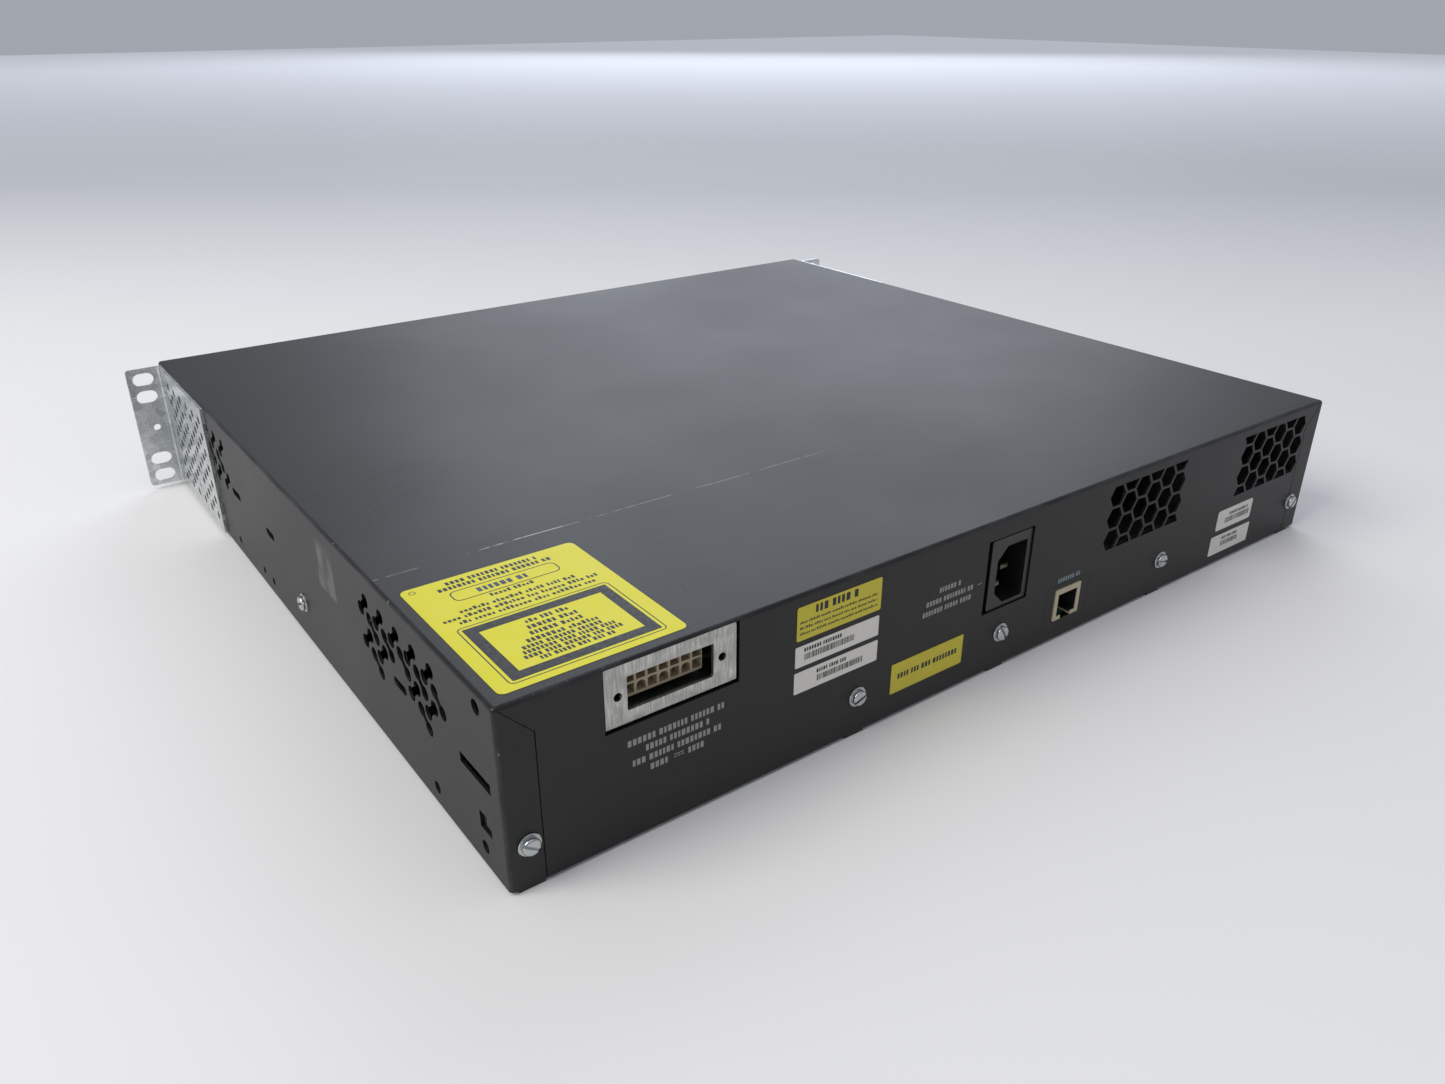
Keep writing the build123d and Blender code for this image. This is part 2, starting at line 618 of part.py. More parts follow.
# ---------------------------------------------------------------- mains inlet
inlet_depth = 26.0
inlet_cavity_depth = 17.0
inlet_chamfer = 5.2
inlet_flange_thickness = 3.0
inlet_back = inlet_face - inlet_depth


def inlet_outline(grow):
    """The inlet's six-sided outline with its cut corners towards -X, made larger by a wall."""
    half_w = inlet_cavity_width / 2 + grow
    half_h = inlet_cavity_height / 2 + grow
    with BuildSketch(rear_plane_at(inlet_face)) as outline:
        with Locations(inlet_centre):
            Rectangle(2 * half_w, 2 * half_h)
        chamfer(outline.vertices().sort_by(Axis.X)[:2], length=inlet_chamfer)
        fillet(outline.vertices(), radius=0.8)
    return outline.sketch


with BuildPart() as ac_inlet_housing:
    flange_back = inlet_face - inlet_flange_thickness
    block((across(inlet_flange_right), flange_back, foot_height + inlet_flange_bottom),
          (across(inlet_flange_left), inlet_face, foot_height + inlet_flange_top))
    fillet(ac_inlet_housing.edges().filter_by(Axis.Y), radius=1.0)
    extrude(inlet_outline(1.6), amount=-inlet_depth)
    extrude(inlet_outline(0), amount=-inlet_cavity_depth, mode=Mode.SUBTRACT)
ac_inlet_housing.part.label = "ac_inlet_housing"
export_step(ac_inlet_housing.part, "parts/ac_inlet_housing.step")

inlet_pin_places = [(inlet_centre[0] - 2, inlet_centre[1] + 7), (inlet_centre[0] - 2, inlet_centre[1] - 7),
                    (inlet_centre[0] + 2, inlet_centre[1])]
inlet_tab_back = inlet_back - 7
inlet_pin_recess = 4.5
with BuildPart() as ac_inlet_pins:
    for u, z in inlet_pin_places:
        middle = foot_height + z
        block((across(u) - 2, inlet_face - inlet_cavity_depth, middle - 1),
              (across(u) + 2, inlet_face - inlet_pin_recess, middle + 1))
        block((across(u) - 2.4, inlet_tab_back, middle - 0.4), (across(u) + 2.4, inlet_back, middle + 0.4))
    chamfer(ac_inlet_pins.edges().group_by(Axis.Y)[-1], length=0.5)
ac_inlet_pins.part.label = "ac_inlet_pins"
export_step(ac_inlet_pins.part, "parts/ac_inlet_pins.step")

# ---------------------------------------------------------------- console jack
console_depth = 18.0
console_cavity_depth = 14.0
console_centre = (console_left + console_right) / 2

with BuildPart() as console_jack:
    block((across(console_right), console_face - console_depth, foot_height + console_bottom),
          (across(console_left), console_face, foot_height + console_top))
    fillet(console_jack.edges().filter_by(Axis.Y), radius=0.4)
    with BuildSketch(rear_plane_at(console_face)):
        with Locations((console_centre, 15.65)):
            Rectangle(12.2, 10.3)
        with Locations((console_centre, 10.0)):
            Rectangle(6.5, 2.6)
    extrude(amount=-console_cavity_depth, mode=Mode.SUBTRACT)
console_jack.part.label = "console_jack"
export_step(console_jack.part, "parts/console_jack.step")

# ---------------------------------------------------------------- main board and its standoffs
main_board_right = 217.0
main_board_front = mouth + 1.5
main_board_step = 50.0
main_board_rear = half_depth - 3.5
rear_part_right = -24.0
board_screw_places = [(-190, -170), (-190, -60), (-190, 40), (-190, 160), (-60, -122), (-60, 40), (-60, 160),
                      (66, -168), (190, -170), (190, -60), (190, 36), (20, 40)]
psu_board_low, psu_board_high = (-16.0, 60.0), (115.0, 192.0)
psu_screw_places = [(-9, 67), (108, 67), (-9, 172), (108, 172)]
standoff_radius = 3.2

with BuildPart() as main_board:
    block((-main_board_right, main_board_front, board_bottom), (main_board_right, main_board_step, board_top))
    block((-main_board_right, main_board_step, board_bottom), (rear_part_right, main_board_rear, board_top))
    for place in board_screw_places:
        post(place, board_bottom, board_top, 1.8, Mode.SUBTRACT)
main_board.part.label = "main_board"
export_step(main_board.part, "parts/main_board.step")

with BuildPart() as board_standoffs:
    for place in board_screw_places + psu_screw_places:
        post(place, pan_sheet, board_bottom, standoff_radius)
        post(place, pan_sheet + 1, board_bottom, 1.5, Mode.SUBTRACT)
    for place in dc_board_places:
        post(place, dc_shelf_top, dc_board_top - board_thickness, 2.4)
        post(place, dc_board_top - board_thickness, dc_board_top + 0.6, 1.5)
        post(place, dc_board_top, dc_board_top + 0.6, 2.0)
board_standoffs.part.label = "board_standoffs"
export_step(board_standoffs.part, "parts/board_standoffs.step")

board_screw = washer_screw(3.0, 2.3, 2.0, 1.4, 5.0)
with BuildPart() as board_screws:
    with Locations(*[(x, y, board_top) for x, y in board_screw_places + psu_screw_places]):
        add(board_screw)
board_screws.part.label = "board_screws"
export_step(board_screws.part, "parts/board_screws.step")

# ---------------------------------------------------------------- module cages and their doors
cage_top = slot_rows[1] + slot_height + cage_roof
cage_end = mouth + cage_depth
cage_vent_length, cage_vent_width = 9.0, 3.0
plate_gap = 0.1
plate_half_width = slot_width / 2 - plate_gap
plate_end = cage_end - cage_back_wall - plate_gap
# The heights of each cage's floor, middle shelf and roof.
cage_plates = ((board_top, slot_rows[0]), (slot_rows[0] + slot_height, slot_rows[1]),
               (slot_rows[1] + slot_height, cage_top))

with BuildPart() as module_cages:
    # Each cage is two upright plates with a floor, a shelf, a roof and a back plate between them.
    for column in slot_columns:
        for left, right in ((-cage_half_width, -slot_width / 2), (slot_width / 2, cage_half_width)):
            block((column + left, mouth, board_top), (column + right, cage_end, cage_top))
        for bottom, top in cage_plates:
            block((column - plate_half_width, mouth, bottom), (column + plate_half_width, plate_end, top))
        block((column - plate_half_width, cage_end - cage_back_wall, board_top),
              (column + plate_half_width, cage_end, cage_top))
        for row in slot_rows:
            pivot_height = row + slot_height - pivot_drop
            with Locations(Location((column, mouth + pivot_back, pivot_height), (0, 90, 0))):
                Cylinder(door_pin_radius + 0.05, 2 * cage_half_width + 1, mode=Mode.SUBTRACT)
        # Vent slots through the roof.
        with BuildSketch(Plane.XY.offset(cage_top)):
            with Locations((column, mouth + cage_depth / 2 + 6)):
                with GridLocations(8, 13, 4, 3):
                    SlotOverall(cage_vent_length, cage_vent_width, rotation=90)
        extrude(amount=-cage_roof, mode=Mode.SUBTRACT)
module_cages.part.label = "module_cages"
export_step(module_cages.part, "parts/module_cages.step")


def module_door(column, row):
    """A dust door hung from a pin along its upper edge, with finger ribs on the inside."""
    pivot = (mouth + pivot_back, row + slot_height - pivot_drop)
    half = slot_width / 2 - 0.4
    with BuildPart() as door:
        block((column - half, pivot[0] - door_thickness / 2, pivot[1] - door_length),
              (column + half, pivot[0] + door_thickness / 2, pivot[1]))
        with Locations(Location((column, pivot[0], pivot[1]), (0, 90, 0))):
            Cylinder(door_knuckle, 2 * half)
            Cylinder(door_pin_radius, 2 * cage_half_width + 0.6)
        for offset in (-9, 0, 9):
            block((column + offset - 0.6, pivot[0], pivot[1] - door_length + 1.5),
                  (column + offset + 0.6, pivot[0] + 1.3, pivot[1]))
    return door.part


door_number = 0
for row in slot_rows:
    for column in slot_columns:
        door_number += 1
        with BuildPart() as door:
            add(module_door(column, row))
        door.part.label = f"module_door_{door_number}"
        export_step(door.part, f"parts/module_door_{door_number}.step")

# ---------------------------------------------------------------- copper ports
copper_depth = 21.8
copper_height = 15.0
copper_half_width = 8.2
copper_cavity_end = mouth + 15.0
jack_half_width, latch_half_width = 5.9, 3.1
jack_bottom, jack_top, latch_top = board_top + 2, board_top + 10.4, board_top + 13

with BuildPart() as copper_ports:
    block((copper_places[0] - copper_half_width, mouth, board_top),
          (copper_places[1] + copper_half_width, mouth + copper_depth, board_top + copper_height))
    for place in copper_places:
        block((place - jack_half_width, mouth, jack_bottom),
              (place + jack_half_width, copper_cavity_end, jack_top), Mode.SUBTRACT)
        block((place - latch_half_width, mouth, jack_top),
              (place + latch_half_width, copper_cavity_end - 4, latch_top), Mode.SUBTRACT)
copper_ports.part.label = "copper_ports"
export_step(copper_ports.part, "parts/copper_ports.step")


def contact_row(back, side, bottom, top):
    """Eight spring wires leaning out from a jack's back wall. side is the way the back wall faces."""
    wires = []
    tip = (bottom + top) / 2
    for number in range(8):
        with BuildPart() as wire:
            with BuildSketch(Plane.YZ.offset((number - 3.5) * 1.02)):
                with BuildLine():
                    Polyline((back, bottom), (back + side * 0.4, bottom), (back + side * 1.2, top - 0.7),
                             (back + side * 8.0, tip), (back + side * 8.2, tip + 0.5),
                             (back + side * 1.1, top - 0.1), (back, top - 0.1), close=True)
                make_face()
            extrude(amount=0.22, both=True)
        wires.append(wire.part)
    return wires


with BuildPart() as jack_contacts:
    for place in copper_places:
        with Locations((place, 0, 0)):
            for wire in contact_row(copper_cavity_end, -1, board_top + 2.2, board_top + 7):
                add(wire)
    with Locations((across(console_centre), 0, 0)):
        for wire in contact_row(console_face - console_cavity_depth, 1, foot_height + 15, foot_height + 20.6):
            add(wire)
jack_contacts.part.label = "jack_contacts"
export_step(jack_contacts.part, "parts/jack_contacts.step")

# ---------------------------------------------------------------- status lights and the mode button
led_board_back = led_board_front + board_thickness
led_board_bottom, led_board_top = cage_top + 1.5, ceiling - 2
led_post_places = [(-206, 58), (-140, 60), (-20, 60), (70, 60), (112, 58)]
wall_back = front_wall + pan_sheet
pipe_radius = 1.2
pipe_length = led_board_front - 1.2 - bezel_face - 0.1
button_travel = 0.8

with BuildPart() as led_board:
    block((-212, led_board_front, led_board_bottom), (118, led_board_back, led_board_top))
    for x, z in led_post_places:
        with Locations(Location((x, led_board_front + 0.8, z), (90, 0, 0))):
            Cylinder(1.5, 4, mode=Mode.SUBTRACT)
led_board.part.label = "led_board"
export_step(led_board.part, "parts/led_board.step")

with BuildPart() as led_board_posts:
    for x, z in led_post_places:
        with Locations(Plane((x, wall_back, z), z_dir=(0, 1, 0))):
            Cylinder(2.6, led_board_front - wall_back, align=(Align.CENTER, Align.CENTER, Align.MIN))
            Cylinder(1.4, led_board_back - wall_back, align=(Align.CENTER, Align.CENTER, Align.MIN))
        with Locations(Plane((x, led_board_back, z), z_dir=(0, 1, 0))):
            Cone(2.1, 1.2, 1.2, align=(Align.CENTER, Align.CENTER, Align.MIN))
led_board_posts.part.label = "led_board_posts"
export_step(led_board_posts.part, "parts/led_board_posts.step")

with BuildPart() as status_leds:
    for x, z in led_places:
        block((x - 1.2, led_board_front - 1, z - 0.8), (x + 1.2, led_board_front, z + 0.8))
    chamfer(status_leds.edges().group_by(Axis.Y)[0], length=0.25)
status_leds.part.label = "status_leds"
export_step(status_leds.part, "parts/status_leds.step")

with BuildPart() as light_pipes:
    with Locations(*[Plane((x, bezel_face + 0.1, z), z_dir=(0, 1, 0)) for x, z in led_places]):
        Cylinder(pipe_radius, pipe_length, align=(Align.CENTER, Align.CENTER, Align.MIN))
        with Locations((0, 0, wall_back - bezel_face + 0.1)):
            Cylinder(pipe_radius + 0.7, 0.8, align=(Align.CENTER, Align.CENTER, Align.MIN))
    fillet(light_pipes.edges().group_by(Axis.Y)[0], radius=0.5)
light_pipes.part.label = "light_pipes"
export_step(light_pipes.part, "parts/light_pipes.step")

switch_plunger_face = led_board_front - 1.8
with BuildPart() as mode_switch:
    block((button_place[0] - 3, led_board_front - 1.4, button_place[1] - 3),
          (button_place[0] + 3, led_board_front, button_place[1] + 3))
    with Locations(Plane((button_place[0], switch_plunger_face, button_place[1]), z_dir=(0, 1, 0))):
        Cylinder(1.7, 1.0, align=(Align.CENTER, Align.CENTER, Align.MIN))
mode_switch.part.label = "mode_switch"
export_step(mode_switch.part, "parts/mode_switch.step")

with BuildPart() as mode_button:
    with Locations(Plane((button_place[0], bezel_face + 0.2, button_place[1]), z_dir=(0, 1, 0))):
        Cylinder(3.0, wall_back + 0.4 - bezel_face, align=(Align.CENTER, Align.CENTER, Align.MIN))
    fillet(mode_button.edges().group_by(Axis.Y)[0], radius=0.6)
    with Locations(Plane((button_place[0], wall_back + 0.2, button_place[1]), z_dir=(0, 1, 0))):
        Cylinder(4.4, 1.0, align=(Align.CENTER, Align.CENTER, Align.MIN))
        stem_length = switch_plunger_face - button_travel - 0.2 - wall_back - 0.2
        Cylinder(1.5, stem_length, align=(Align.CENTER, Align.CENTER, Align.MIN))
mode_button.part.label = "mode_button"
export_step(mode_button.part, "parts/mode_button.step")

# ---------------------------------------------------------------- chips, heat sinks and memory
switch_chip_places = [(-130, -72), (-50, -72), (30, -72), (110, -72), (150, -5)]
port_chip_places = [(column, -110) for column in slot_columns] + [(90, -130), (60, 0), (-120, 10)]
chip_height = 2.4
sink_base = 3.0
sink_height = 14.0
sink_half = 19.0
fin_count, fin_thickness = 8, 1.4

with BuildPart() as board_chips:
    with Locations(*[(x, y, board_top + chip_height / 2) for x, y in switch_chip_places]):
        Box(31, 31, chip_height)
    with Locations(*[(x, y, board_top + 0.9) for x, y in port_chip_places]):
        Box(14, 14, 1.8)
    chamfer(board_chips.edges().group_by(Axis.Z)[-1], length=0.6)
board_chips.part.label = "board_chips"
export_step(board_chips.part, "parts/board_chips.step")

with BuildPart() as heat_sinks:
    sink_bottom = board_top + chip_height
    for x, y in switch_chip_places:
        fin_bottom = sink_bottom + sink_base
        block((x - sink_half, y - sink_half, sink_bottom), (x + sink_half, y + sink_half, fin_bottom))
        for fin in range(fin_count):
            left = x - sink_half + fin * (2 * sink_half - fin_thickness) / (fin_count - 1)
            block((left, y - sink_half, fin_bottom),
                  (left + fin_thickness, y + sink_half, sink_bottom + sink_height))
heat_sinks.part.label = "heat_sinks"
export_step(heat_sinks.part, "parts/heat_sinks.step")

memory_low = (60.0, 22.0)
memory_length = 68.0
memory_end = memory_low[0] + memory_length
with BuildPart() as memory_socket:
    block((memory_low[0] - 4, memory_low[1] - 3, board_top),
          (memory_end + 4, memory_low[1] + 3, board_top + 7))
    for end in (memory_low[0] - 4, memory_end + 1):
        block((end, memory_low[1] - 2, board_top + 7), (end + 3, memory_low[1] + 2, board_top + 19))
    block((memory_low[0] - 0.2, memory_low[1] - 0.7, board_top + 2),
          (memory_end + 0.2, memory_low[1] + 0.7, board_top + 8), Mode.SUBTRACT)
memory_socket.part.label = "memory_socket"
export_step(memory_socket.part, "parts/memory_socket.step")

with BuildPart() as memory_module:
    block((memory_low[0], memory_low[1] - 0.6, board_top + 2.2),
          (memory_end, memory_low[1] + 0.6, board_top + 32))
    for number in range(5):
        left = memory_low[0] + 4 + number * 12.5
        block((left, memory_low[1] + 0.6, board_top + 12), (left + 9, memory_low[1] + 1.7, board_top + 28))
memory_module.part.label = "memory_module"
export_step(memory_module.part, "parts/memory_module.step")

# ---------------------------------------------------------------- power supply
psu_cage_low, psu_cage_high = (-19.0, 57.0), (118.0, 198.0)
psu_cage_top = 62.0
psu_terminal_low, psu_terminal_high = (-6.0, 138.0), (14.0, 150.0)
terminal_top = board_top + 9.7
harness_middle = 52.0

with BuildPart() as psu_board:
    block((*psu_board_low, board_bottom), (*psu_board_high, board_top))
    for place in psu_screw_places:
        post(place, board_bottom, board_top, 1.8, Mode.SUBTRACT)
psu_board.part.label = "psu_board"
export_step(psu_board.part, "parts/psu_board.step")

with BuildPart() as psu_cage:
    block((*psu_cage_low, foot_height + pan_sheet), (*psu_cage_high, psu_cage_top))
    block((psu_cage_low[0] + 1, psu_cage_low[1] + 1, 0),
          (psu_cage_high[0] - 1, psu_cage_high[1], psu_cage_top - 1), Mode.SUBTRACT)
    with BuildSketch(Plane.XY.offset(psu_cage_top)):
        with Locations((49.5, 122)):
            with GridLocations(11, 30, 10, 4):
                SlotOverall(24, 4.5, rotation=90)
    extrude(amount=-1, mode=Mode.SUBTRACT)
    with BuildSketch(Plane.YZ.offset(psu_cage_high[0])):
        with Locations((122, 36)):
            with GridLocations(12, 18, 10, 2):
                SlotOverall(14, 4.5, rotation=90)
    extrude(amount=-case_width, mode=Mode.SUBTRACT)
    # Way out for the output leads.
    block((harness_middle - 12, psu_cage_low[1] - 1, foot_height),
          (harness_middle + 12, psu_cage_low[1] + 2, 26), Mode.SUBTRACT)
psu_cage.part.label = "psu_cage"
export_step(psu_cage.part, "parts/psu_cage.step")

with BuildPart() as psu_magnetics:
    block((38, 98, board_top), (76, 132, board_top + 4))
    block((41, 100, board_top + 4), (73, 130, board_top + 34))
    block((46, 95, board_top + 8), (68, 135, board_top + 30))
    for x in (48, 80):
        with Locations(Location((x, 78, board_top + 13.5), (90, 0, 0))):
            Torus(9, 4.2)
        block((x - 8, 75, board_top), (x + 8, 81, board_top + 0.6))
psu_magnetics.part.label = "psu_magnetics"
export_step(psu_magnetics.part, "parts/psu_magnetics.step")

with BuildPart() as psu_capacitors:
    for place in ((36, 162), (66, 162)):
        post(place, board_top, board_top + 38, 12.5)
    for place in ((100, 92), (100, 110), (86, 92)):
        post(place, board_top, board_top + 22, 6)
    fillet(psu_capacitors.edges().filter_by(GeomType.CIRCLE), radius=1.0)
psu_capacitors.part.label = "psu_capacitors"
export_step(psu_capacitors.part, "parts/psu_capacitors.step")

with BuildPart() as psu_heat_sinks:
    for left, front, rear in ((84, 122, 186), (20, 66, 128)):
        block((left, front, board_top), (left + 3, rear, board_top + 38))
        for fin in range(6):
            block((left + 3, front, board_top + 6 + 6 * fin), (left + 9, rear, board_top + 7.4 + 6 * fin))
psu_heat_sinks.part.label = "psu_heat_sinks"
export_step(psu_heat_sinks.part, "parts/psu_heat_sinks.step")

# ---------------------------------------------------------------- blowers
tray_low, tray_high = (-219.5, 103.0), (-22.0, 199.0)
tray_thickness = 1.2
inlet_radius = 28.0
lid_thickness = 2.0
blower_top = blower_floor + blower_height
outlet_rear = rear_inside - 0.4
shaft_radius = 1.5
impeller_radius = 33.0
hub_radius = 13.5
blade_count = 30
blade_root = 26.5
impeller_floor = blower_floor + scroll_wall + 2.2
impeller_top = blower_top - lid_thickness - 1.8
lug_turns = (225, 315)
lug_reach = 47.5
lug_radius = 4.0
lug_height = 12.0


def lug_places(centre):
    """Two lugs in front of the scroll, and one beside the outlet."""
    places = [(centre + lug_reach * math.cos(math.radians(turn)),
               blower_depth_centre + lug_reach * math.sin(math.radians(turn))) for turn in lug_turns]
    return places + [(centre + 24, 193)]


def scroll_outline(centre, wall, height):
    """The blower's round scroll and straight outlet, drawn inwards from the outside by a wall."""
    outer_side = centre - scroll_radius - scroll_wall
    with BuildSketch(Plane.XY.offset(height)) as outline:
        with Locations((centre, blower_depth_centre)):
            Circle(scroll_radius + scroll_wall - wall)
        low_x, high_x = outer_side + wall, outer_side + outlet_width + 2 * scroll_wall - wall
        with Locations(((low_x + high_x) / 2, (blower_depth_centre + outlet_rear) / 2)):
            Rectangle(high_x - low_x, outlet_rear - blower_depth_centre)
    return outline.sketch


blower_centres = [across(u) for u in blower_across]

with BuildPart() as blower_tray:
    block((*tray_low, blower_floor - tray_thickness), (*tray_high, blower_floor))
    block((tray_low[0], tray_low[1] + 6, foot_height + pan_sheet),
          (tray_low[0] + tray_thickness, tray_high[1] - 10, blower_floor))
    block((tray_high[0] - tray_thickness, tray_low[1] + 6, pan_sheet), (tray_high[0], 180, blower_floor))
    for centre in blower_centres:
        eye = (centre, blower_depth_centre)
        post(eye, blower_floor - 3, blower_floor + 1, inlet_radius + 1, Mode.SUBTRACT)
        for place in lug_places(centre):
            post(place, blower_floor - 3, blower_floor + 1, 1.5, Mode.SUBTRACT)
blower_tray.part.label = "blower_tray"
export_step(blower_tray.part, "parts/blower_tray.step")

with BuildPart() as blower_housings:
    for centre in blower_centres:
        extrude(scroll_outline(centre, 0, blower_floor), amount=blower_height - lid_thickness)
        for place in lug_places(centre):
            post(place, blower_floor, blower_floor + lug_height, lug_radius)
    for centre in blower_centres:
        extrude(scroll_outline(centre, scroll_wall, blower_floor + scroll_wall), amount=blower_height,
                mode=Mode.SUBTRACT)
        post((centre, blower_depth_centre), blower_floor - 1, blower_floor + 3, inlet_radius, Mode.SUBTRACT)
        for place in lug_places(centre):
            post(place, blower_floor - 1, blower_floor + lug_height + 1, 1.5, Mode.SUBTRACT)
blower_housings.part.label = "blower_housings"
export_step(blower_housings.part, "parts/blower_housings.step")

motor_floor = impeller_top - 15.0
with BuildPart() as blower_lids:
    for centre in blower_centres:
        extrude(scroll_outline(centre, 0, blower_top - lid_thickness), amount=lid_thickness)
        with BuildSketch(Plane.XY.offset(blower_top)):
            with Locations((centre, blower_depth_centre)):
                with PolarLocations(23, 12):
                    SlotOverall(12, 3)
        extrude(amount=-0.8, mode=Mode.SUBTRACT)
blower_lids.part.label = "blower_lids"
export_step(blower_lids.part, "parts/blower_lids.step")

with BuildPart() as blower_motors:
    for centre in blower_centres:
        eye = (centre, blower_depth_centre)
        post(eye, motor_floor, blower_top - lid_thickness, 5)
        with BuildSketch(Plane.XY.offset(motor_floor + 2)):
            with Locations(eye):
                Circle(5)
                with PolarLocations(7.5, 4):
                    Rectangle(5.5, 3.6)
                with Locations((0, 0)):
                    with PolarLocations(9.9, 4):
                        Rectangle(1.6, 9)
        extrude(amount=9)
        post(eye, motor_floor - 1, impeller_top - 0.5, shaft_radius + 0.05, Mode.SUBTRACT)
blower_motors.part.label = "blower_motors"
export_step(blower_motors.part, "parts/blower_motors.step")


def blower_impeller(centre):
    """A cup-shaped hub on its shaft, a back plate, a ring of curved-in blades and a shroud ring."""
    eye = (centre, blower_depth_centre)
    hub_floor = motor_floor - 3.5
    with BuildPart() as impeller:
        post(eye, hub_floor, impeller_top, hub_radius)
        post(eye, hub_floor + 1.5, impeller_top + 1, hub_radius - 1.3, Mode.SUBTRACT)
        fillet(impeller.edges().group_by(Axis.Z)[0], radius=1.2)
        post(eye, hub_floor + 1, impeller_top - 1, shaft_radius)
        with BuildSketch(Plane.XY.offset(impeller_top)):
            with Locations(eye):
                Circle(impeller_radius)
                Circle(hub_radius - 0.3, mode=Mode.SUBTRACT)
        extrude(amount=-1.0)
        with BuildSketch(Plane.XY.offset(impeller_floor)):
            with Locations(eye):
                with PolarLocations((impeller_radius + blade_root) / 2 - 0.4, blade_count):
                    Rectangle(6.6, 0.9, rotation=28)
        extrude(amount=impeller_top - impeller_floor - 0.5)
        with BuildSketch(Plane.XY.offset(impeller_floor)):
            with Locations(eye):
                Circle(impeller_radius + 0.4)
                Circle(impeller_radius - 2.6, mode=Mode.SUBTRACT)
        extrude(amount=1.2)
    return impeller.part


for number, centre in enumerate(blower_centres, 1):
    with BuildPart() as impeller:
        add(blower_impeller(centre))
    impeller.part.label = f"blower_impeller_{number}"
    export_step(impeller.part, f"parts/blower_impeller_{number}.step")

blower_screw = washer_screw(2.8, 2.2, 1.8, 1.4, lug_height + 3)
with BuildPart() as blower_screws:
    for centre in blower_centres:
        with Locations(*[(x, y, blower_floor + lug_height) for x, y in lug_places(centre)]):
            add(blower_screw)
blower_screws.part.label = "blower_screws"
export_step(blower_screws.part, "parts/blower_screws.step")

# ---------------------------------------------------------------- leads and their plugs
dc_lead_radius = 3.5
psu_lead_radius = 3.0
ac_lead_radius = 1.3
blower_lead_radius = 1.5
dc_lead_start, dc_lead_end = (162.0, 143.0, 56.0), (158.0, 40.0, 14.8)
dc_route = [dc_lead_start, (162, 121, 54), (160, 98, 40), (158.5, 79, 23.5), (158, 59, 16), dc_lead_end]
psu_route = [(harness_middle, 62, 15.5), (harness_middle + 0.5, 51, 18.5), (harness_middle, 40, 15.5)]
terminal_places = (9.5, 4.0, -1.5)

with BuildPart() as harness_plugs:
    block((154, 143, 51.8), (170, 152.6, 60.2))
    block((150, 26, board_top), (166, 40, board_top + 9))
    block((harness_middle - 9, 62, board_top), (harness_middle + 9, 71, board_top + 10))
    block((harness_middle - 9, 28, board_top), (harness_middle + 9, 40, board_top + 10))
    block((*psu_terminal_low, board_top), (*psu_terminal_high, terminal_top))
    for centre in blower_centres:
        block((centre - 4.5, 80, board_top), (centre + 4.5, 87, board_top + 8))
harness_plugs.part.label = "harness_plugs"
export_step(harness_plugs.part, "parts/harness_plugs.step")

with BuildPart() as dc_harness:
    add(lead(dc_route, dc_lead_radius))
dc_harness.part.label = "dc_harness"
export_step(dc_harness.part, "parts/dc_harness.step")

with BuildPart() as psu_harness:
    add(lead(psu_route, psu_lead_radius))
psu_harness.part.label = "psu_harness"
export_step(psu_harness.part, "parts/psu_harness.step")

with BuildPart() as ac_leads:
    for (u, z), terminal in zip(inlet_pin_places, terminal_places):
        height = foot_height + z
        drop = height - terminal_top
        middle_x = (across(u) + terminal) / 2
        add(lead([(across(u), inlet_tab_back, height), (across(u), inlet_tab_back - 11, height - 0.14 * drop),
                  (middle_x, 148.5, height - 0.5 * drop), (terminal, 144, terminal_top)], ac_lead_radius))
ac_leads.part.label = "ac_leads"
export_step(ac_leads.part, "parts/ac_leads.step")

with BuildPart() as blower_leads:
    for centre in blower_centres:
        add(lead([(centre, 107.8, 54), (centre, 97, 51), (centre + 1, 89.5, 42), (centre + 1, 85, 30.5),
                  (centre, 83.5, board_top + 8)], blower_lead_radius))
blower_leads.part.label = "blower_leads"
export_step(blower_leads.part, "parts/blower_leads.step")

# ---------------------------------------------------------------- labels
label_thickness = 0.15
with BuildPart() as top_label:
    with BuildSketch(Plane.XY.offset(cover_top)):
        with Locations((half_width - 37.5, half_depth - 42.25)):
            RectangleRounded(65, 74.5, 2.5)
    extrude(amount=label_thickness)
top_label.part.label = "top_label"
export_step(top_label.part, "parts/top_label.step")


def wall_labels(outlines):
    """Thin labels on the rear wall, each given as left, right, bottom, top and corner radius."""
    with BuildSketch(rear_plane) as labels:
        for left, right, bottom, top, corner in outlines:
            with Locations(((left + right) / 2, (bottom + top) / 2)):
                RectangleRounded(right - left, top - bottom, corner)
    return labels.sketch


with BuildPart() as rear_caution_labels:
    extrude(wall_labels([(110, 148.5, 49, 62, 0.8), (156.7, 195, 9.5, 22.3, 0.5)]), amount=label_thickness)
rear_caution_labels.part.label = "rear_caution_labels"
export_step(rear_caution_labels.part, "parts/rear_caution_labels.step")

with BuildPart() as rear_id_labels:
    extrude(wall_labels([(109.7, 148.2, 38.5, 46.7, 0.5), (109.5, 148.3, 28, 36.5, 0.5),
                         (368, 397, 17, 27.3, 1.2), (366, 398.5, 4.3, 14.2, 0.5)]), amount=label_thickness)
rear_id_labels.part.label = "rear_id_labels"
export_step(rear_id_labels.part, "parts/rear_id_labels.step")
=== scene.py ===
"""Looks of the rack-mount network appliance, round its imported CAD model: paint, plating, prints and light."""
import json
import math
import random

import bmesh
import bpy
from mathutils import Matrix, Vector


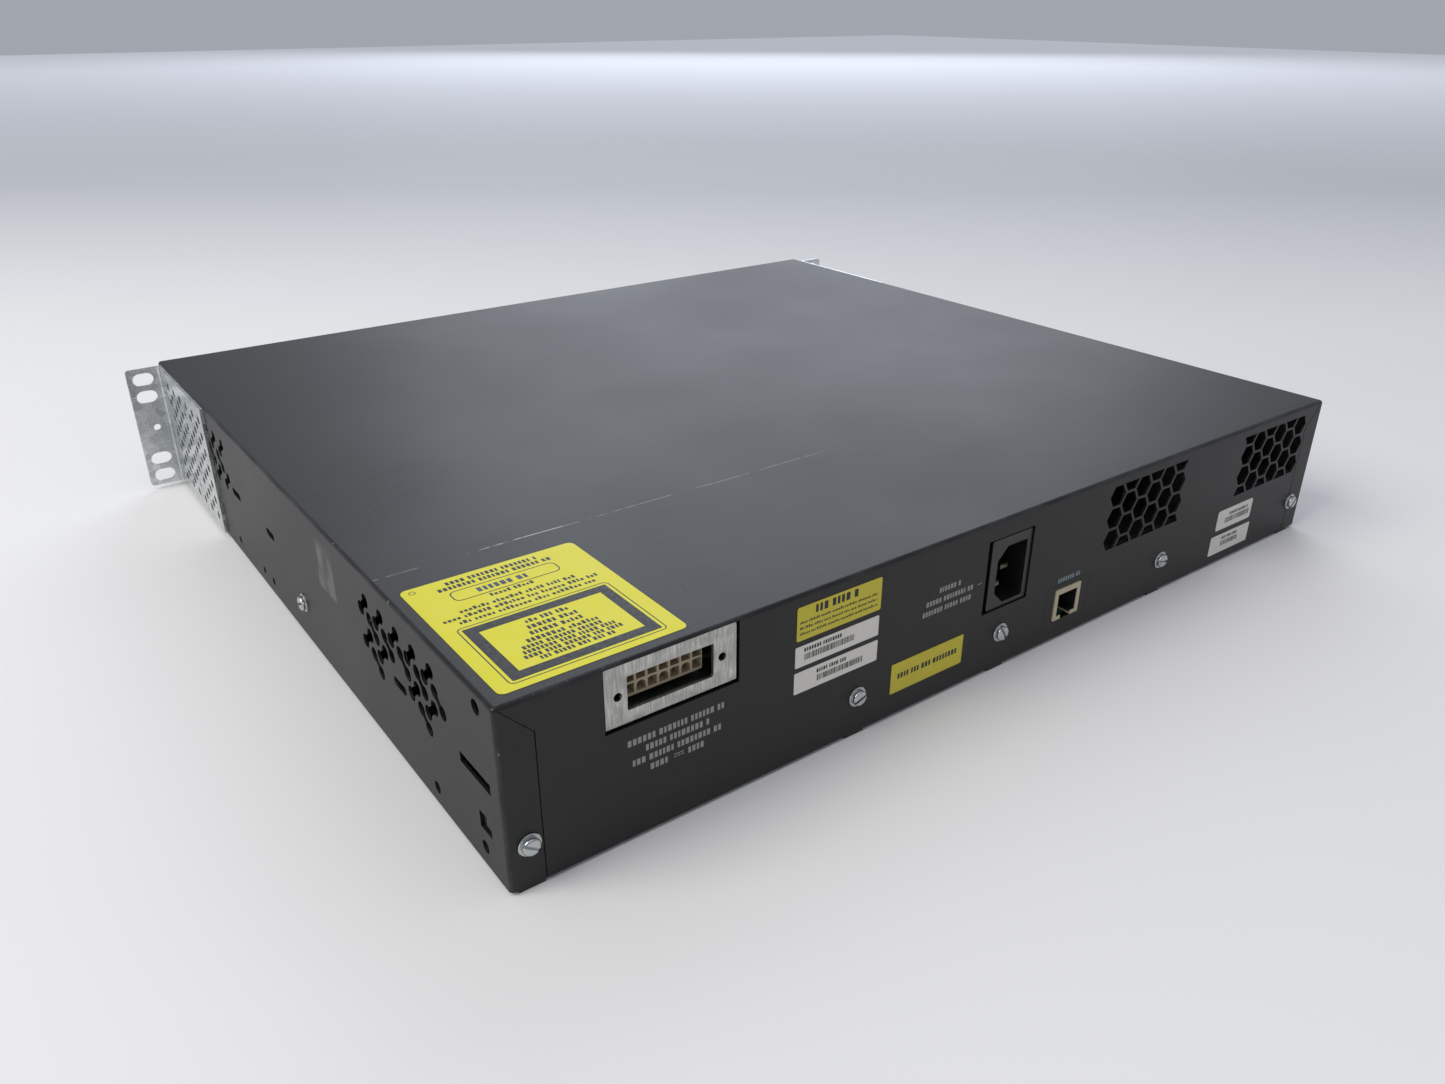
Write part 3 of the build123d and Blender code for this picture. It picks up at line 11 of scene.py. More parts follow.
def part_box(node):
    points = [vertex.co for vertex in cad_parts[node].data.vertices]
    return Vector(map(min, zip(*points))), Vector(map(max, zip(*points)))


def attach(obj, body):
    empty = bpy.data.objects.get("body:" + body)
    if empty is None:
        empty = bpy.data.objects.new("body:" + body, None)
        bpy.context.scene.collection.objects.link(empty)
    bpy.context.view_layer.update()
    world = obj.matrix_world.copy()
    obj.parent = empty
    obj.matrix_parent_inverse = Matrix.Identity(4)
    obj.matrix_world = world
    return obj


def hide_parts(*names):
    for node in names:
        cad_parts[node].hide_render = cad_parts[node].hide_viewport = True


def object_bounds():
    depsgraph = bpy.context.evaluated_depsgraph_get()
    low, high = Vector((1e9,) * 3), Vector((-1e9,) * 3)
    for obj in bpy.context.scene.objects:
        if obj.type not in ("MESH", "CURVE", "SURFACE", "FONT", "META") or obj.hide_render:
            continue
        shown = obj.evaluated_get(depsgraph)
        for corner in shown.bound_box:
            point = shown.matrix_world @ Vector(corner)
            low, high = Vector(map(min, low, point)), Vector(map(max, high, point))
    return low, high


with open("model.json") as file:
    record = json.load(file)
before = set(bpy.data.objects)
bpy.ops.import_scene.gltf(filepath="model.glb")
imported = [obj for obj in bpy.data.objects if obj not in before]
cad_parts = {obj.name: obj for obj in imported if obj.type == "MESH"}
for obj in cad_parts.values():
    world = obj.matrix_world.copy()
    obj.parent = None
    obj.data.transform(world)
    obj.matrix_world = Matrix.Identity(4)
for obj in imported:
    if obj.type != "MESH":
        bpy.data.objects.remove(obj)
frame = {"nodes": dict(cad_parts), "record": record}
cad_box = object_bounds()

MM = 0.001
surround_colour = (0.86, 0.90, 1.0)
centre = (cad_box[0] + cad_box[1]) / 2
cover_low, cover_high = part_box("top_cover")


# ---------------------------------------------------------------- places on the object
def rear(across, up, out=0.0):
    """A point on the rear wall: across from its +X corner, up from the cover's lower edge, in millimetres."""
    return Vector((cover_high.x - across * MM, cover_high.y + out * MM, cover_low.z + up * MM))


def face_of(low, high):
    """Places on a label of the rear wall: right from its left edge as read, up from its lower edge."""
    def place(right, up, out=0.0):
        return Vector((high.x - right * MM, high.y + out * MM, low.z + up * MM))
    return place


def solid_boxes(node):
    """The boxes of a node's separate solids, from the +X end."""
    mesh = bmesh.new()
    mesh.from_mesh(frame["nodes"][node].data)
    bmesh.ops.remove_doubles(mesh, verts=mesh.verts, dist=1e-6)
    boxes, left = [], set(mesh.verts)
    while left:
        group, edge = set(), [left.pop()]
        while edge:
            vert = edge.pop()
            group.add(vert)
            near = {other for link in vert.link_edges for other in link.verts} & left
            left -= near
            edge.extend(near)
        corners = [vert.co for vert in group]
        boxes.append((Vector([min(c[i] for c in corners) for i in range(3)]),
                      Vector([max(c[i] for c in corners) for i in range(3)])))
    mesh.free()
    return sorted(boxes, key=lambda box: (-round(box[1].x, 3), -box[1].z))


# ---------------------------------------------------------------- materials
class Surface:
    """A Principled material, with short ways to add the nodes that drive it. Lengths are in metres."""

    def __init__(self, name, colour=(0.5, 0.5, 0.5), roughness=0.5, **sockets):
        """sockets holds other shader inputs by name, such as ior or transmission_weight."""
        self.material = bpy.data.materials.new(name)
        self.material.use_nodes = True
        self.nodes = self.material.node_tree.nodes
        self.links = self.material.node_tree.links
        self.shader = self.nodes["Principled BSDF"]
        self.place = self.nodes.new("ShaderNodeTexCoord").outputs["Object"]
        self.normal = self.nodes.new("ShaderNodeNewGeometry").outputs["Normal"]
        self.put(self.shader.inputs["Base Color"], colour)
        self.put(self.shader.inputs["Roughness"], roughness)
        for socket, value in sockets.items():
            title = "IOR" if socket == "ior" else socket.replace("_", " ").title()
            self.put(self.shader.inputs[title], value)

    def put(self, socket, value):
        """Link a node's output to a socket, or set the socket to a number or colour."""
        if isinstance(value, bpy.types.NodeSocket):
            self.links.new(value, socket)
        elif socket.type == "RGBA":
            socket.default_value = (*value, 1.0)
        else:
            socket.default_value = value

    def math(self, operation, a, b=0.0):
        """The result of a math node."""
        node = self.nodes.new("ShaderNodeMath")
        node.operation = operation
        self.put(node.inputs[0], a)
        self.put(node.inputs[1], b)
        return node.outputs[0]

    def product(self, *values):
        """All the values multiplied together."""
        result = values[0]
        for value in values[1:]:
            result = self.math("MULTIPLY", result, value)
        return result

    def most(self, *values):
        """The largest of the values."""
        result = values[0]
        for value in values[1:]:
            result = self.math("MAXIMUM", result, value)
        return result

    def remap(self, value, low, high, to_low=0.0, to_high=1.0):
        """value from low to high, carried to to_low to to_high and held at the ends."""
        node = self.nodes.new("ShaderNodeMapRange")
        for socket, number in zip(node.inputs[:5], (value, low, high, to_low, to_high)):
            self.put(socket, number)
        return node.outputs[0]

    def blend(self, share, a, b):
        """Colour a where share is 0 and colour b where it is 1."""
        node = self.nodes.new("ShaderNodeMix")
        node.data_type = "RGBA"
        # A mix node keeps its colours on inputs 6 and 7 and on output 2.
        self.put(node.inputs[0], share)
        self.put(node.inputs[6], a)
        self.put(node.inputs[7], b)
        return node.outputs[2]

    def mapped(self, stretch=(1, 1, 1), turn=(0, 0, 0)):
        """The object's own coordinates, turned and then scaled."""
        node = self.nodes.new("ShaderNodeMapping")
        self.put(node.inputs["Vector"], self.place)
        node.inputs["Rotation"].default_value = turn
        node.inputs["Scale"].default_value = stretch
        return node.outputs[0]

    def noise(self, size, detail=2.0, stretch=(1, 1, 1), turn=(0, 0, 0)):
        """Cloudy noise from 0 to 1 with spots of about that size."""
        node = self.nodes.new("ShaderNodeTexNoise")
        self.put(node.inputs["Vector"], self.mapped(stretch, turn))
        node.inputs["Scale"].default_value = 1 / size
        node.inputs["Detail"].default_value = detail
        return node.outputs["Fac"]

    def cells(self, size):
        """A random colour for each cell of a pattern of about that size."""
        node = self.nodes.new("ShaderNodeTexVoronoi")
        self.put(node.inputs["Vector"], self.mapped())
        node.inputs["Scale"].default_value = 1 / size
        return node.outputs["Color"]

    def part_of(self, vector):
        """The x, y and z of a vector, as three outputs."""
        node = self.nodes.new("ShaderNodeSeparateXYZ")
        self.put(node.inputs[0], vector)
        return node.outputs

    def near(self, value, middle, reach):
        """1 where value is at middle, falling to 0 at reach from it."""
        return self.remap(self.math("ABSOLUTE", self.math("SUBTRACT", value, middle)), reach, 0.4 * reach)

    def between(self, value, low, high, soft):
        """1 between low and high, with a soft edge outside each."""
        return self.product(self.remap(value, low - soft, low), self.remap(value, high + soft, high))

    def scratches(self, length, width, amount, turn=(0, 0, 0)):
        """Sparse fine lines along the turned X axis."""
        lines = self.noise(1.0, 0.0, (1 / length, 1 / width, 1 / width), turn)
        patches = self.noise(9 * width + length, 1.0)
        return self.product(self.remap(lines, 1 - amount, 1 - 0.8 * amount), self.remap(patches, 0.5, 0.62))

    def facing_bends(self):
        """1 on rounded edges between walls that face along the axes, 0 on the walls."""
        x, y, z = (self.math("ABSOLUTE", part) for part in self.part_of(self.normal))
        pairs = self.math("ADD", self.math("ADD", self.product(x, y), self.product(y, z)), self.product(x, z))
        return self.remap(pairs, 0.12, 0.42)

    def bump(self, height, depth):
        """Relief of that depth, from a height of 0 to 1."""
        node = self.nodes.new("ShaderNodeBump")
        node.inputs["Distance"].default_value = depth
        node.inputs["Strength"].default_value = 1.0
        self.put(node.inputs["Height"], height)
        if self.shader.inputs["Normal"].links:
            self.links.new(self.shader.inputs["Normal"].links[0].from_socket, node.inputs["Normal"])
        self.links.new(node.outputs[0], self.shader.inputs["Normal"])

    def colour(self, value):
        """Set the base colour."""
        self.put(self.shader.inputs["Base Color"], value)

    def roughness(self, value):
        """Set the roughness."""
        self.put(self.shader.inputs["Roughness"], value)


def hairlines(s):
    """Fine scratches in three directions."""
    return s.most(s.scratches(0.035, 0.0004, 0.29, (0, 0, 0.5)),
                  s.scratches(0.02, 0.0003, 0.28, (0, 0, -0.9)),
                  s.scratches(0.05, 0.0005, 0.27, (0, 0, 1.9)))


def long_rub(s, on_top):
    """A long rub across the top, broken into dashes, parallel to the rear edge."""
    x, y, _ = s.part_of(s.place)
    to_rear = 93 * MM
    half_width = 0.42 * MM
    wander = s.math("MULTIPLY", s.math("SUBTRACT", s.noise(0.05, 2.0), 0.5), 1.6 * MM)
    line = s.near(s.math("ADD", y, wander), cover_high.y - to_rear, half_width)
    dashes = s.remap(s.noise(0.009, 3.0, (1, 0.02, 0.02)), 0.38, 0.45)
    from_corner = s.math("SUBTRACT", cover_high.x, x)
    reach = s.most(s.product(s.between(from_corner, 2 * MM, 17 * MM, 1 * MM), 0.45),
                   s.between(from_corner, 24 * MM, 27.5 * MM, 0.5 * MM),
                   s.between(from_corner, 36 * MM, 74 * MM, 2 * MM),
                   s.product(s.between(from_corner, 74 * MM, 190 * MM, 20 * MM), 0.4))
    return s.product(line, dashes, reach, on_top, s.remap(s.noise(0.003, 1.0), 0.25, 0.5))


def side_patch(s):
    """A lighter patch on the +X side wall, with a cloudy edge."""
    x, y, z = s.part_of(s.place)
    on_side = s.remap(x, cover_high.x - 0.4 * MM, cover_high.x - 0.1 * MM)
    return s.product(on_side, s.between(y, cover_low.y + 250 * MM, cover_low.y + 268 * MM, 1.5 * MM),
                     s.between(z, cover_low.z + 40 * MM, cover_low.z + 60 * MM, 1.5 * MM),
                     s.remap(s.noise(0.007, 3.0, (1, 1, 0.4)), 0.42, 0.60))


def powder_coat():
    """Dark fine-textured paint: dusty and lightly scuffed on the flats, worn along its bends."""
    s = Surface("powder_coat", ior=1.43)
    height = s.part_of(s.place)[2]
    on_top = s.remap(height, cover_high.z - 0.8 * MM, cover_high.z - 0.3 * MM)
    cloud = s.noise(0.11, 3.0)
    bends = s.facing_bends()
    rub = long_rub(s, on_top)
    chips = s.product(bends, s.remap(s.noise(0.0016, 4.0, (1, 1, 0.4)), 0.66, 0.72))
    polished = s.product(bends, s.remap(s.noise(0.02, 3.0), 0.42, 0.62))
    specks = s.remap(s.noise(0.0012, 3.0), 0.62, 0.75)
    dust = s.product(on_top, specks, s.remap(s.noise(0.06, 2.0), 0.45, 0.7))
    paint = s.blend(cloud, (0.0074, 0.0073, 0.0069), (0.0104, 0.0102, 0.0096))
    for mark, strength, tint in ((hairlines(s), 0.06, (0.16, 0.155, 0.15)),
                                 (rub, 0.75, (0.42, 0.40, 0.36)),
                                 (chips, 0.6, (0.30, 0.29, 0.27)),
                                 (polished, 0.3, (0.075, 0.075, 0.08)),
                                 (dust, 0.12, (0.5, 0.48, 0.45)),
                                 (side_patch(s), 0.35, (0.23, 0.22, 0.21))):
        paint = s.blend(s.math("MULTIPLY", mark, strength), paint, tint)
    s.colour(paint)
    smoother = s.math("MULTIPLY", s.most(bends, rub), 0.12)
    s.roughness(s.math("SUBTRACT", s.remap(cloud, 0.25, 0.75, 0.42, 0.50), smoother))
    s.bump(s.noise(0.00042, 2.0), 0.018 * MM)
    s.bump(s.noise(0.0022, 1.0), 0.012 * MM)
    return s.material


def galvanised(name, tint, roughness, spangle=0.005, painted_shade_under=False):
    """Zinc-dipped sheet: crystal spangles of different tone and gloss, with a pale bloom in patches."""
    s = Surface(name, metallic=1.0)
    tone, gloss, _ = s.part_of(s.cells(spangle))
    fine = s.noise(0.0009, 3.0)
    dark = tuple(0.72 * c for c in tint)
    metal = s.blend(tone, dark, tint)
    metal = s.blend(s.remap(s.noise(0.02, 4.0), 0.55, 0.8, 0.0, 0.45), metal, (0.62, 0.63, 0.62))
    s.colour(metal)
    s.roughness(s.remap(s.math("ADD", gloss, fine), 0.3, 1.6, roughness - 0.1, roughness + 0.14))
    s.bump(fine, 0.01 * MM)
    s.bump(s.scratches(0.03, 0.0003, 0.33, (0.4, 0, 1.2)), 0.02 * MM)
    if painted_shade_under:
        # The outside of the pan, all that is lower than the cover's edge, is coloured near-black like the cover
        # and not metal: painted shade under the cover's edge, in place of the zinc.
        height = s.part_of(s.place)[2]
        paint = s.remap(height, cover_low.z + 0.35 * MM, cover_low.z + 0.05 * MM)
        zinc = s.shader.inputs["Base Color"].links[0].from_socket
        s.colour(s.blend(paint, zinc, (0.013, 0.013, 0.013)))
        s.put(s.shader.inputs["Metallic"], s.math("SUBTRACT", 1.0, paint))
    return s.material


def brushed(name, tint, roughness, stretch, streak=0.0003, mottle=0.5):
    """Bare plated sheet with a brushed grain along one axis, and darker handling marks."""
    s = Surface(name, metallic=1.0)
    grain = s.noise(streak, 3.0, stretch)
    marks = s.noise(0.005, 5.0)
    streaks = s.blend(s.remap(grain, 0.3, 0.7), tuple((1 - mottle) * c for c in tint), tint)
    s.colour(s.blend(s.remap(marks, 0.42, 0.68, 0, 1.3 * mottle), streaks, tuple(0.5 * c for c in tint)))
    s.roughness(s.remap(s.math("ADD", grain, marks), 0.6, 1.4, roughness - 0.07, roughness + 0.09))
    s.bump(grain, 0.012 * MM)
    return s.material


def bright_zinc():
    """Blue-white zinc plate on screws, with a faint yellow bloom and tool marks."""
    s = Surface("bright_zinc", metallic=1.0)
    bloom = s.noise(0.0016, 2.0)
    plate = s.blend(bloom, (0.44, 0.49, 0.54), (0.60, 0.60, 0.56))
    s.colour(s.blend(s.remap(s.noise(0.0006, 2.0), 0.60, 0.75, 0, 0.35), plate, (0.22, 0.23, 0.24)))
    s.roughness(s.remap(s.noise(0.0009, 2.0), 0.3, 0.7, 0.14, 0.26))
    s.bump(s.noise(0.0009, 2.0), 0.008 * MM)
    return s.material


def moulded(name, tint, roughness, grain=0.00035, relief=0.01, variation=0.12, **sockets):
    """Moulded plastic: an even spark texture with slow differences in colour and gloss."""
    s = Surface(name, **sockets)
    cloud = s.noise(0.014, 2.0)
    darker, lighter = [tuple(share * c for c in tint) for share in (1 - variation, 1 + variation)]
    s.colour(s.blend(cloud, darker, lighter))
    s.roughness(s.remap(cloud, 0.3, 0.7, roughness - 0.05, roughness + 0.05))
    s.bump(s.noise(grain, 2.0), relief * MM)
    return s.material


def clear_moulding():
    """Light pipes: clear, a little cloudy."""
    s = Surface("clear_moulding", roughness=0.18, ior=1.49, transmission_weight=0.75)
    s.colour(s.blend(s.noise(0.002, 2.0), (0.62, 0.66, 0.66), (0.80, 0.84, 0.84)))
    s.bump(s.noise(0.0006, 1.0), 0.01 * MM)
    return s.material


def circuit_board():
    """Green solder mask over copper: tracks seen as lighter lines, and a slight sheen."""
    s = Surface("circuit_board", roughness=0.32, ior=1.5)
    x, y, _ = s.part_of(s.place)
    lanes = [s.remap(s.math("PINGPONG", axis, 0.7 * MM), 0.42 * MM, 0.5 * MM) for axis in (x, y)]
    areas = s.remap(s.noise(0.012, 0.0), 0.48, 0.5)
    way = s.remap(s.noise(0.02, 0.0, (1, 1, 0.1), (0, 0, 0.8)), 0.49, 0.51)
    along = s.blend(way, (0, 0, 0), (1, 1, 1))
    tracks = s.math("ADD", s.product(lanes[0], s.math("SUBTRACT", 1.0, along)), s.product(lanes[1], along))
    copper = s.product(tracks, areas)
    s.colour(s.blend(copper, (0.012, 0.075, 0.028), (0.030, 0.150, 0.055)))
    s.bump(copper, 0.03 * MM)
    return s.material


def turned_contact(name, tint, roughness=0.25):
    """Plated contacts: gold or tin with fine drawing lines and rub marks."""
    s = Surface(name, metallic=1.0)
    rub = s.noise(0.0008, 3.0, (1, 0.2, 1))
    s.colour(s.blend(s.remap(rub, 0.35, 0.75), tint, tuple(0.6 * c for c in tint)))
    s.roughness(s.remap(rub, 0.3, 0.7, roughness - 0.06, roughness + 0.12))
    s.bump(rub, 0.008 * MM)
    return s.material


def sleeve():
    """Capacitor sleeves: dark shrink film, with bare aluminium on the flat top."""
    s = Surface("capacitor_sleeve", ior=1.5)
    up = s.part_of(s.normal)[2]
    film = s.blend(s.noise(0.004, 2.0), (0.018, 0.024, 0.075), (0.028, 0.036, 0.10))
    s.colour(s.blend(s.remap(up, 0.9, 0.97), film, (0.42, 0.42, 0.43)))
    s.roughness(s.remap(s.noise(0.002, 2.0), 0.3, 0.7, 0.22, 0.36))
    s.bump(s.noise(0.0015, 1.0), 0.02 * MM)
    return s.material


def windings():
    """Ferrite and tape: matt black core, amber tape and copper showing in bands."""
    s = Surface("windings")
    bands = s.remap(s.noise(0.006, 1.0, (0.2, 0.2, 1)), 0.48, 0.52)
    turns = s.noise(0.0008, 0.0, (0.2, 1, 0.2))
    copper = s.blend(turns, (0.28, 0.09, 0.02), (0.42, 0.17, 0.05))
    s.colour(s.blend(s.math("MULTIPLY", bands, 0.5), (0.022, 0.021, 0.020), copper))
    s.roughness(s.remap(bands, 0, 1, 0.62, 0.35))
    s.bump(turns, 0.08 * MM)
    return s.material


def jacket():
    """Lead jackets: black vinyl with a slight bloom."""
    s = Surface("jacket", ior=1.5)
    bloom = s.noise(0.003, 3.0)
    s.colour(s.blend(bloom, (0.012, 0.012, 0.012), (0.035, 0.034, 0.033)))
    s.roughness(s.remap(bloom, 0.3, 0.7, 0.34, 0.52))
    s.bump(s.noise(0.0007, 2.0), 0.015 * MM)
    return s.material


def anodised():
    """Black anodised heat sinks with extrusion lines and pale scuffs."""
    s = Surface("anodised", metallic=0.85)
    lines = s.noise(0.0005, 2.0, (1, 0.03, 1))
    black = s.blend(lines, (0.02, 0.02, 0.022), (0.035, 0.035, 0.038))
    s.colour(s.blend(s.remap(s.noise(0.003, 4.0), 0.6, 0.7, 0, 0.5), black, (0.25, 0.25, 0.26)))
    s.roughness(s.remap(lines, 0.3, 0.7, 0.36, 0.5))
    s.bump(lines, 0.02 * MM)
    return s.material


def label_stock(name, tint, roughness, grime):
    """Printed label stock: slight mottling, grime in patches and a faint ripple."""
    s = Surface(name, ior=1.3)
    mottle = s.noise(0.006, 4.0)
    dirt = s.remap(s.noise(0.013, 5.0), 0.52, 0.78, 0.0, grime)
    clean = s.blend(mottle, tuple(0.95 * c for c in tint), tint)
    s.colour(s.blend(dirt, clean, tuple(0.55 * c + 0.02 for c in tint)))
    s.roughness(s.remap(mottle, 0.3, 0.7, roughness - 0.05, roughness + 0.07))
    s.bump(s.noise(0.009, 2.0), 0.05 * MM)
    return s.material


def ink(name, tint, strength=0.85):
    """Screen-printed ink, thin in places."""
    s = Surface(name)
    thin = s.remap(s.noise(0.0007, 3.0), 0.55, 0.75, 0.0, 1 - strength)
    s.colour(s.blend(thin, tint, tuple(0.5 * c + 0.02 for c in tint)))
    s.roughness(s.remap(s.noise(0.001, 2.0), 0.3, 0.7, 0.42, 0.6))
    s.bump(s.noise(0.0005, 2.0), 0.006 * MM)
    return s.material


def status_light():
    """Unlit status lights: pale cloudy epoxy."""
    s = Surface("led_epoxy", roughness=0.25, ior=1.5)
    s.colour(s.blend(s.noise(0.0008, 1.0), (0.75, 0.76, 0.68), (0.55, 0.62, 0.42)))
    s.bump(s.noise(0.0006, 1.0), 0.01 * MM)
    return s.material


def floor_paint():
    """A pale floor, greyer beyond the front of the unit."""
    s = Surface("pale_floor", ior=1.05)
    x, y, _ = s.part_of(s.place)
    beyond = (-0.595, -0.804)
    away = s.math("ADD", s.product(x, beyond[0]), s.product(y, beyond[1]))
    round_the_unit = s.blend(s.noise(0.35, 4.0), (0.80, 0.790, 0.780), (0.845, 0.840, 0.835))
    s.colour(s.blend(s.remap(away, 0.35, 1.1), round_the_unit, (0.62, 0.625, 0.64)))
    s.roughness(s.remap(s.noise(0.05, 3.0), 0.3, 0.7, 0.5, 0.62))
    # Far off it glows a little, so that it ends in the surround without a dark band.
    distance = s.math("SQRT", s.math("ADD", s.product(x, x), s.product(y, y)))
    s.put(s.shader.inputs["Emission Color"], surround_colour)
    s.put(s.shader.inputs["Emission Strength"], s.remap(distance, 1.6, 4.5, 0.0, 0.26))
    return s.material


slot_materials = {
    "cover_paint": powder_coat(),
    "pan_zinc": galvanised("pan_zinc", (0.52, 0.54, 0.53), 0.42, painted_shade_under=True),
    "ear_zinc": galvanised("ear_zinc", (0.64, 0.67, 0.67), 0.24, 0.0035),
    "plate_steel": brushed("plate_steel", (0.66, 0.66, 0.62), 0.42, (1, 1, 0.09), 0.0007, 0.52),
    "screw_zinc": bright_zinc(),
    "bezel_plastic": moulded("bezel_plastic", (0.026, 0.027, 0.030), 0.48, 0.0004, 0.02),
    "ivory_nylon": moulded("ivory_nylon", (0.62, 0.56, 0.41), 0.42, 0.0003, 0.008, 0.06, ior=1.5),
    "black_plastic": moulded("black_plastic", (0.011, 0.011, 0.012), 0.34, 0.0003, 0.008),
    "pin_metal": turned_contact("pin_metal", (0.62, 0.52, 0.32)),
    "board_green": circuit_board(),
    "cage_steel": brushed("cage_steel", (0.55, 0.56, 0.55), 0.30, (1, 0.04, 1)),
    "door_steel": brushed("door_steel", (0.42, 0.43, 0.43), 0.38, (0.04, 1, 1)),
    "sink_aluminium": anodised(),
    "chip_black": moulded("chip_black", (0.022, 0.022, 0.024), 0.55, 0.00025, 0.012, 0.2),
    "capacitor_sleeve": sleeve(),
    "ferrite": windings(),
    "blower_plastic": moulded("blower_plastic", (0.018, 0.018, 0.020), 0.5, 0.0006, 0.03, 0.2),
    "lead_jacket": jacket(),
    "light_pipe": clear_moulding(),
    "button_plastic": moulded("button_plastic", (0.34, 0.35, 0.36), 0.4, 0.0003, 0.008, 0.05),
    "caution_yellow": label_stock("caution_yellow", (0.62, 0.53, 0.055), 0.42, 0.16),
    "label_white": label_stock("label_white", (0.74, 0.71, 0.66), 0.5, 0.12),
}
top_yellow = label_stock("top_yellow", (0.69, 0.64, 0.020), 0.40, 0.07)
black_ink = ink("black_ink", (0.010, 0.010, 0.010))
grey_ink = ink("grey_ink", (0.27, 0.265, 0.25))
dark_ink = ink("dark_ink", (0.004, 0.004, 0.004))
blue_grey_ink = ink("blue_grey_ink", (0.17, 0.23, 0.26))
date_ink = ink("date_ink", (0.035, 0.045, 0.09))


def jack_body():
    """The console jack: an ivory rim round an inside coloured near-black, which is painted shade in its cavity.
    """
    s = Surface("jack_body", ior=1.5)
    low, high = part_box("console_jack")
    x, y, z = s.part_of(s.place)
    rim, lower_rim, soft = 1.9 * MM, 1.0 * MM, 0.05 * MM
    # Within the rim and deeper than the face the colour turns near-black: painted shade in the jack's cavity.
    inside = s.product(s.between(x, low.x + rim, high.x - rim, soft),
                       s.between(z, low.z + lower_rim, high.z - rim, soft),
                       s.remap(y, high.y - 0.25 * MM, high.y - 0.45 * MM))
    cloud = s.noise(0.004, 3.0)
    ivory = s.blend(cloud, (0.44, 0.38, 0.26), (0.56, 0.49, 0.34))
    s.colour(s.blend(inside, ivory, (0.012, 0.012, 0.012)))
    s.roughness(s.remap(cloud, 0.3, 0.7, 0.36, 0.46))
    s.bump(s.noise(0.0004, 2.0), 0.01 * MM)
    return s.material


own_materials = {
    "status_leds": status_light(),
    "console_jack": jack_body(),
    # The mains pins get a dark tint: painted shade for their place deep in the inlet, where the plated metal
    # would be brighter.
    "ac_inlet_pins": turned_contact("pin_in_painted_shade", (0.20, 0.18, 0.14), 0.36),
    "dc_connector_housing": moulded("dim_nylon", (0.40, 0.33, 0.22), 0.45, 0.0003, 0.008, 0.1, ior=1.5),
}


def finish_cad_nodes():
    """Give every carried-over CAD node the material of its slot, or its own where it has one."""
    for part in frame["record"]["subparts"]:
        node = frame["nodes"][part["node"]]
        material = own_materials.get(part["node"], slot_materials[part["material_slot"]])
        node.data.materials.clear()
        node.data.materials.append(material)


# ---------------------------------------------------------------- prints
def rounded(left, right, bottom, top, radius, steps=6):
    """A rectangle with rounded corners, as a list of points."""
    points = []
    for x, y, start in ((right - radius, top - radius, 0), (left + radius, top - radius, 90),
                        (left + radius, bottom + radius, 180), (right - radius, bottom + radius, 270)):
        for step in range(steps + 1):
            turn = math.radians(start + 90 * step / steps)
            points.append((x + radius * math.cos(turn), y + radius * math.sin(turn)))
    return points


class Print:
    """Flat shapes gathered into one thin piece on a face of the object, in the face's own millimetres."""

    def __init__(self, place, low, high, seed=1):
        """place turns two distances on the face and one out of it, such as low and high, into a point."""
        self.mesh = bmesh.new()
        self.place = place
        self.levels = (low, high)
        self.random = random.Random(seed)

    def plate(self, outline, hole=None):
        """A plate with upright edges. A hole has as many points as the outline."""
        loops = [[[self.mesh.verts.new(self.place(a, b, out)) for a, b in points] for out in self.levels]
                 for points in (outline, hole) if points]
        count = len(outline)
        for low, high in loops:
            for i in range(count):
                j = (i + 1) % count
                self.mesh.faces.new((low[i], low[j], high[j], high[i]))
        for level in (0, 1):
            if hole:
                outer, inner = loops[0][level], loops[1][level]
                for i in range(count):
                    j = (i + 1) % count
                    self.mesh.faces.new((outer[i], outer[j], inner[j], inner[i]))
            else:
                self.mesh.faces.new(loops[0][level])

    def block(self, left, right, bottom, top):
        """A plain rectangle."""
        self.plate([(left, bottom), (right, bottom), (right, top), (left, top)])

    def outline(self, left, right, bottom, top, line, radius):
        """A thin line round a rounded rectangle."""
        inner_radius = max(radius - line, 0.05)
        self.plate(rounded(left, right, bottom, top, radius),
                   rounded(left + line, right - line, bottom + line, top - line, inner_radius))

    def row(self, left, right, middle, height, small=0.0):
        """Plain blocks with the rhythm of words. A share of them, small, is lower than the rest."""
        at = left
        while at < right - 0.4 * height:
            for _ in range(self.random.randint(3, 8)):
                wide = height * self.random.uniform(0.36, 0.60)
                tall = height * (0.70 if self.random.random() < small else 1.0)
                if at + wide > right:
                    at = right
                    break
                self.block(at, at + wide, middle - height / 2, middle - height / 2 + tall)
                at += wide + 0.24 * height
            at += 0.42 * height

    def bars(self, left, right, bottom, top, pitch=0.5):
        """Upright bars of uneven width, side by side."""
        at = left
        while at < right:
            wide = pitch * self.random.choice((0.35, 0.5, 0.9))
            self.block(at, min(at + wide, right), bottom, top)
            at += wide + pitch * self.random.choice((0.3, 0.45, 0.7))

    def finish(self, name, material):
        """Make the piece, which rides on the chassis."""
        bmesh.ops.recalc_face_normals(self.mesh, faces=self.mesh.faces)
        data = bpy.data.meshes.new(name)
        self.mesh.to_mesh(data)
        self.mesh.free()
        data.materials.append(material)
        piece = bpy.data.objects.new(name, data)
        bpy.context.scene.collection.objects.link(piece)
        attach(piece, "chassis")
        return piece


# Ink lies this far out from its face, in millimetres.
ink_low, ink_high = 0.004, 0.022


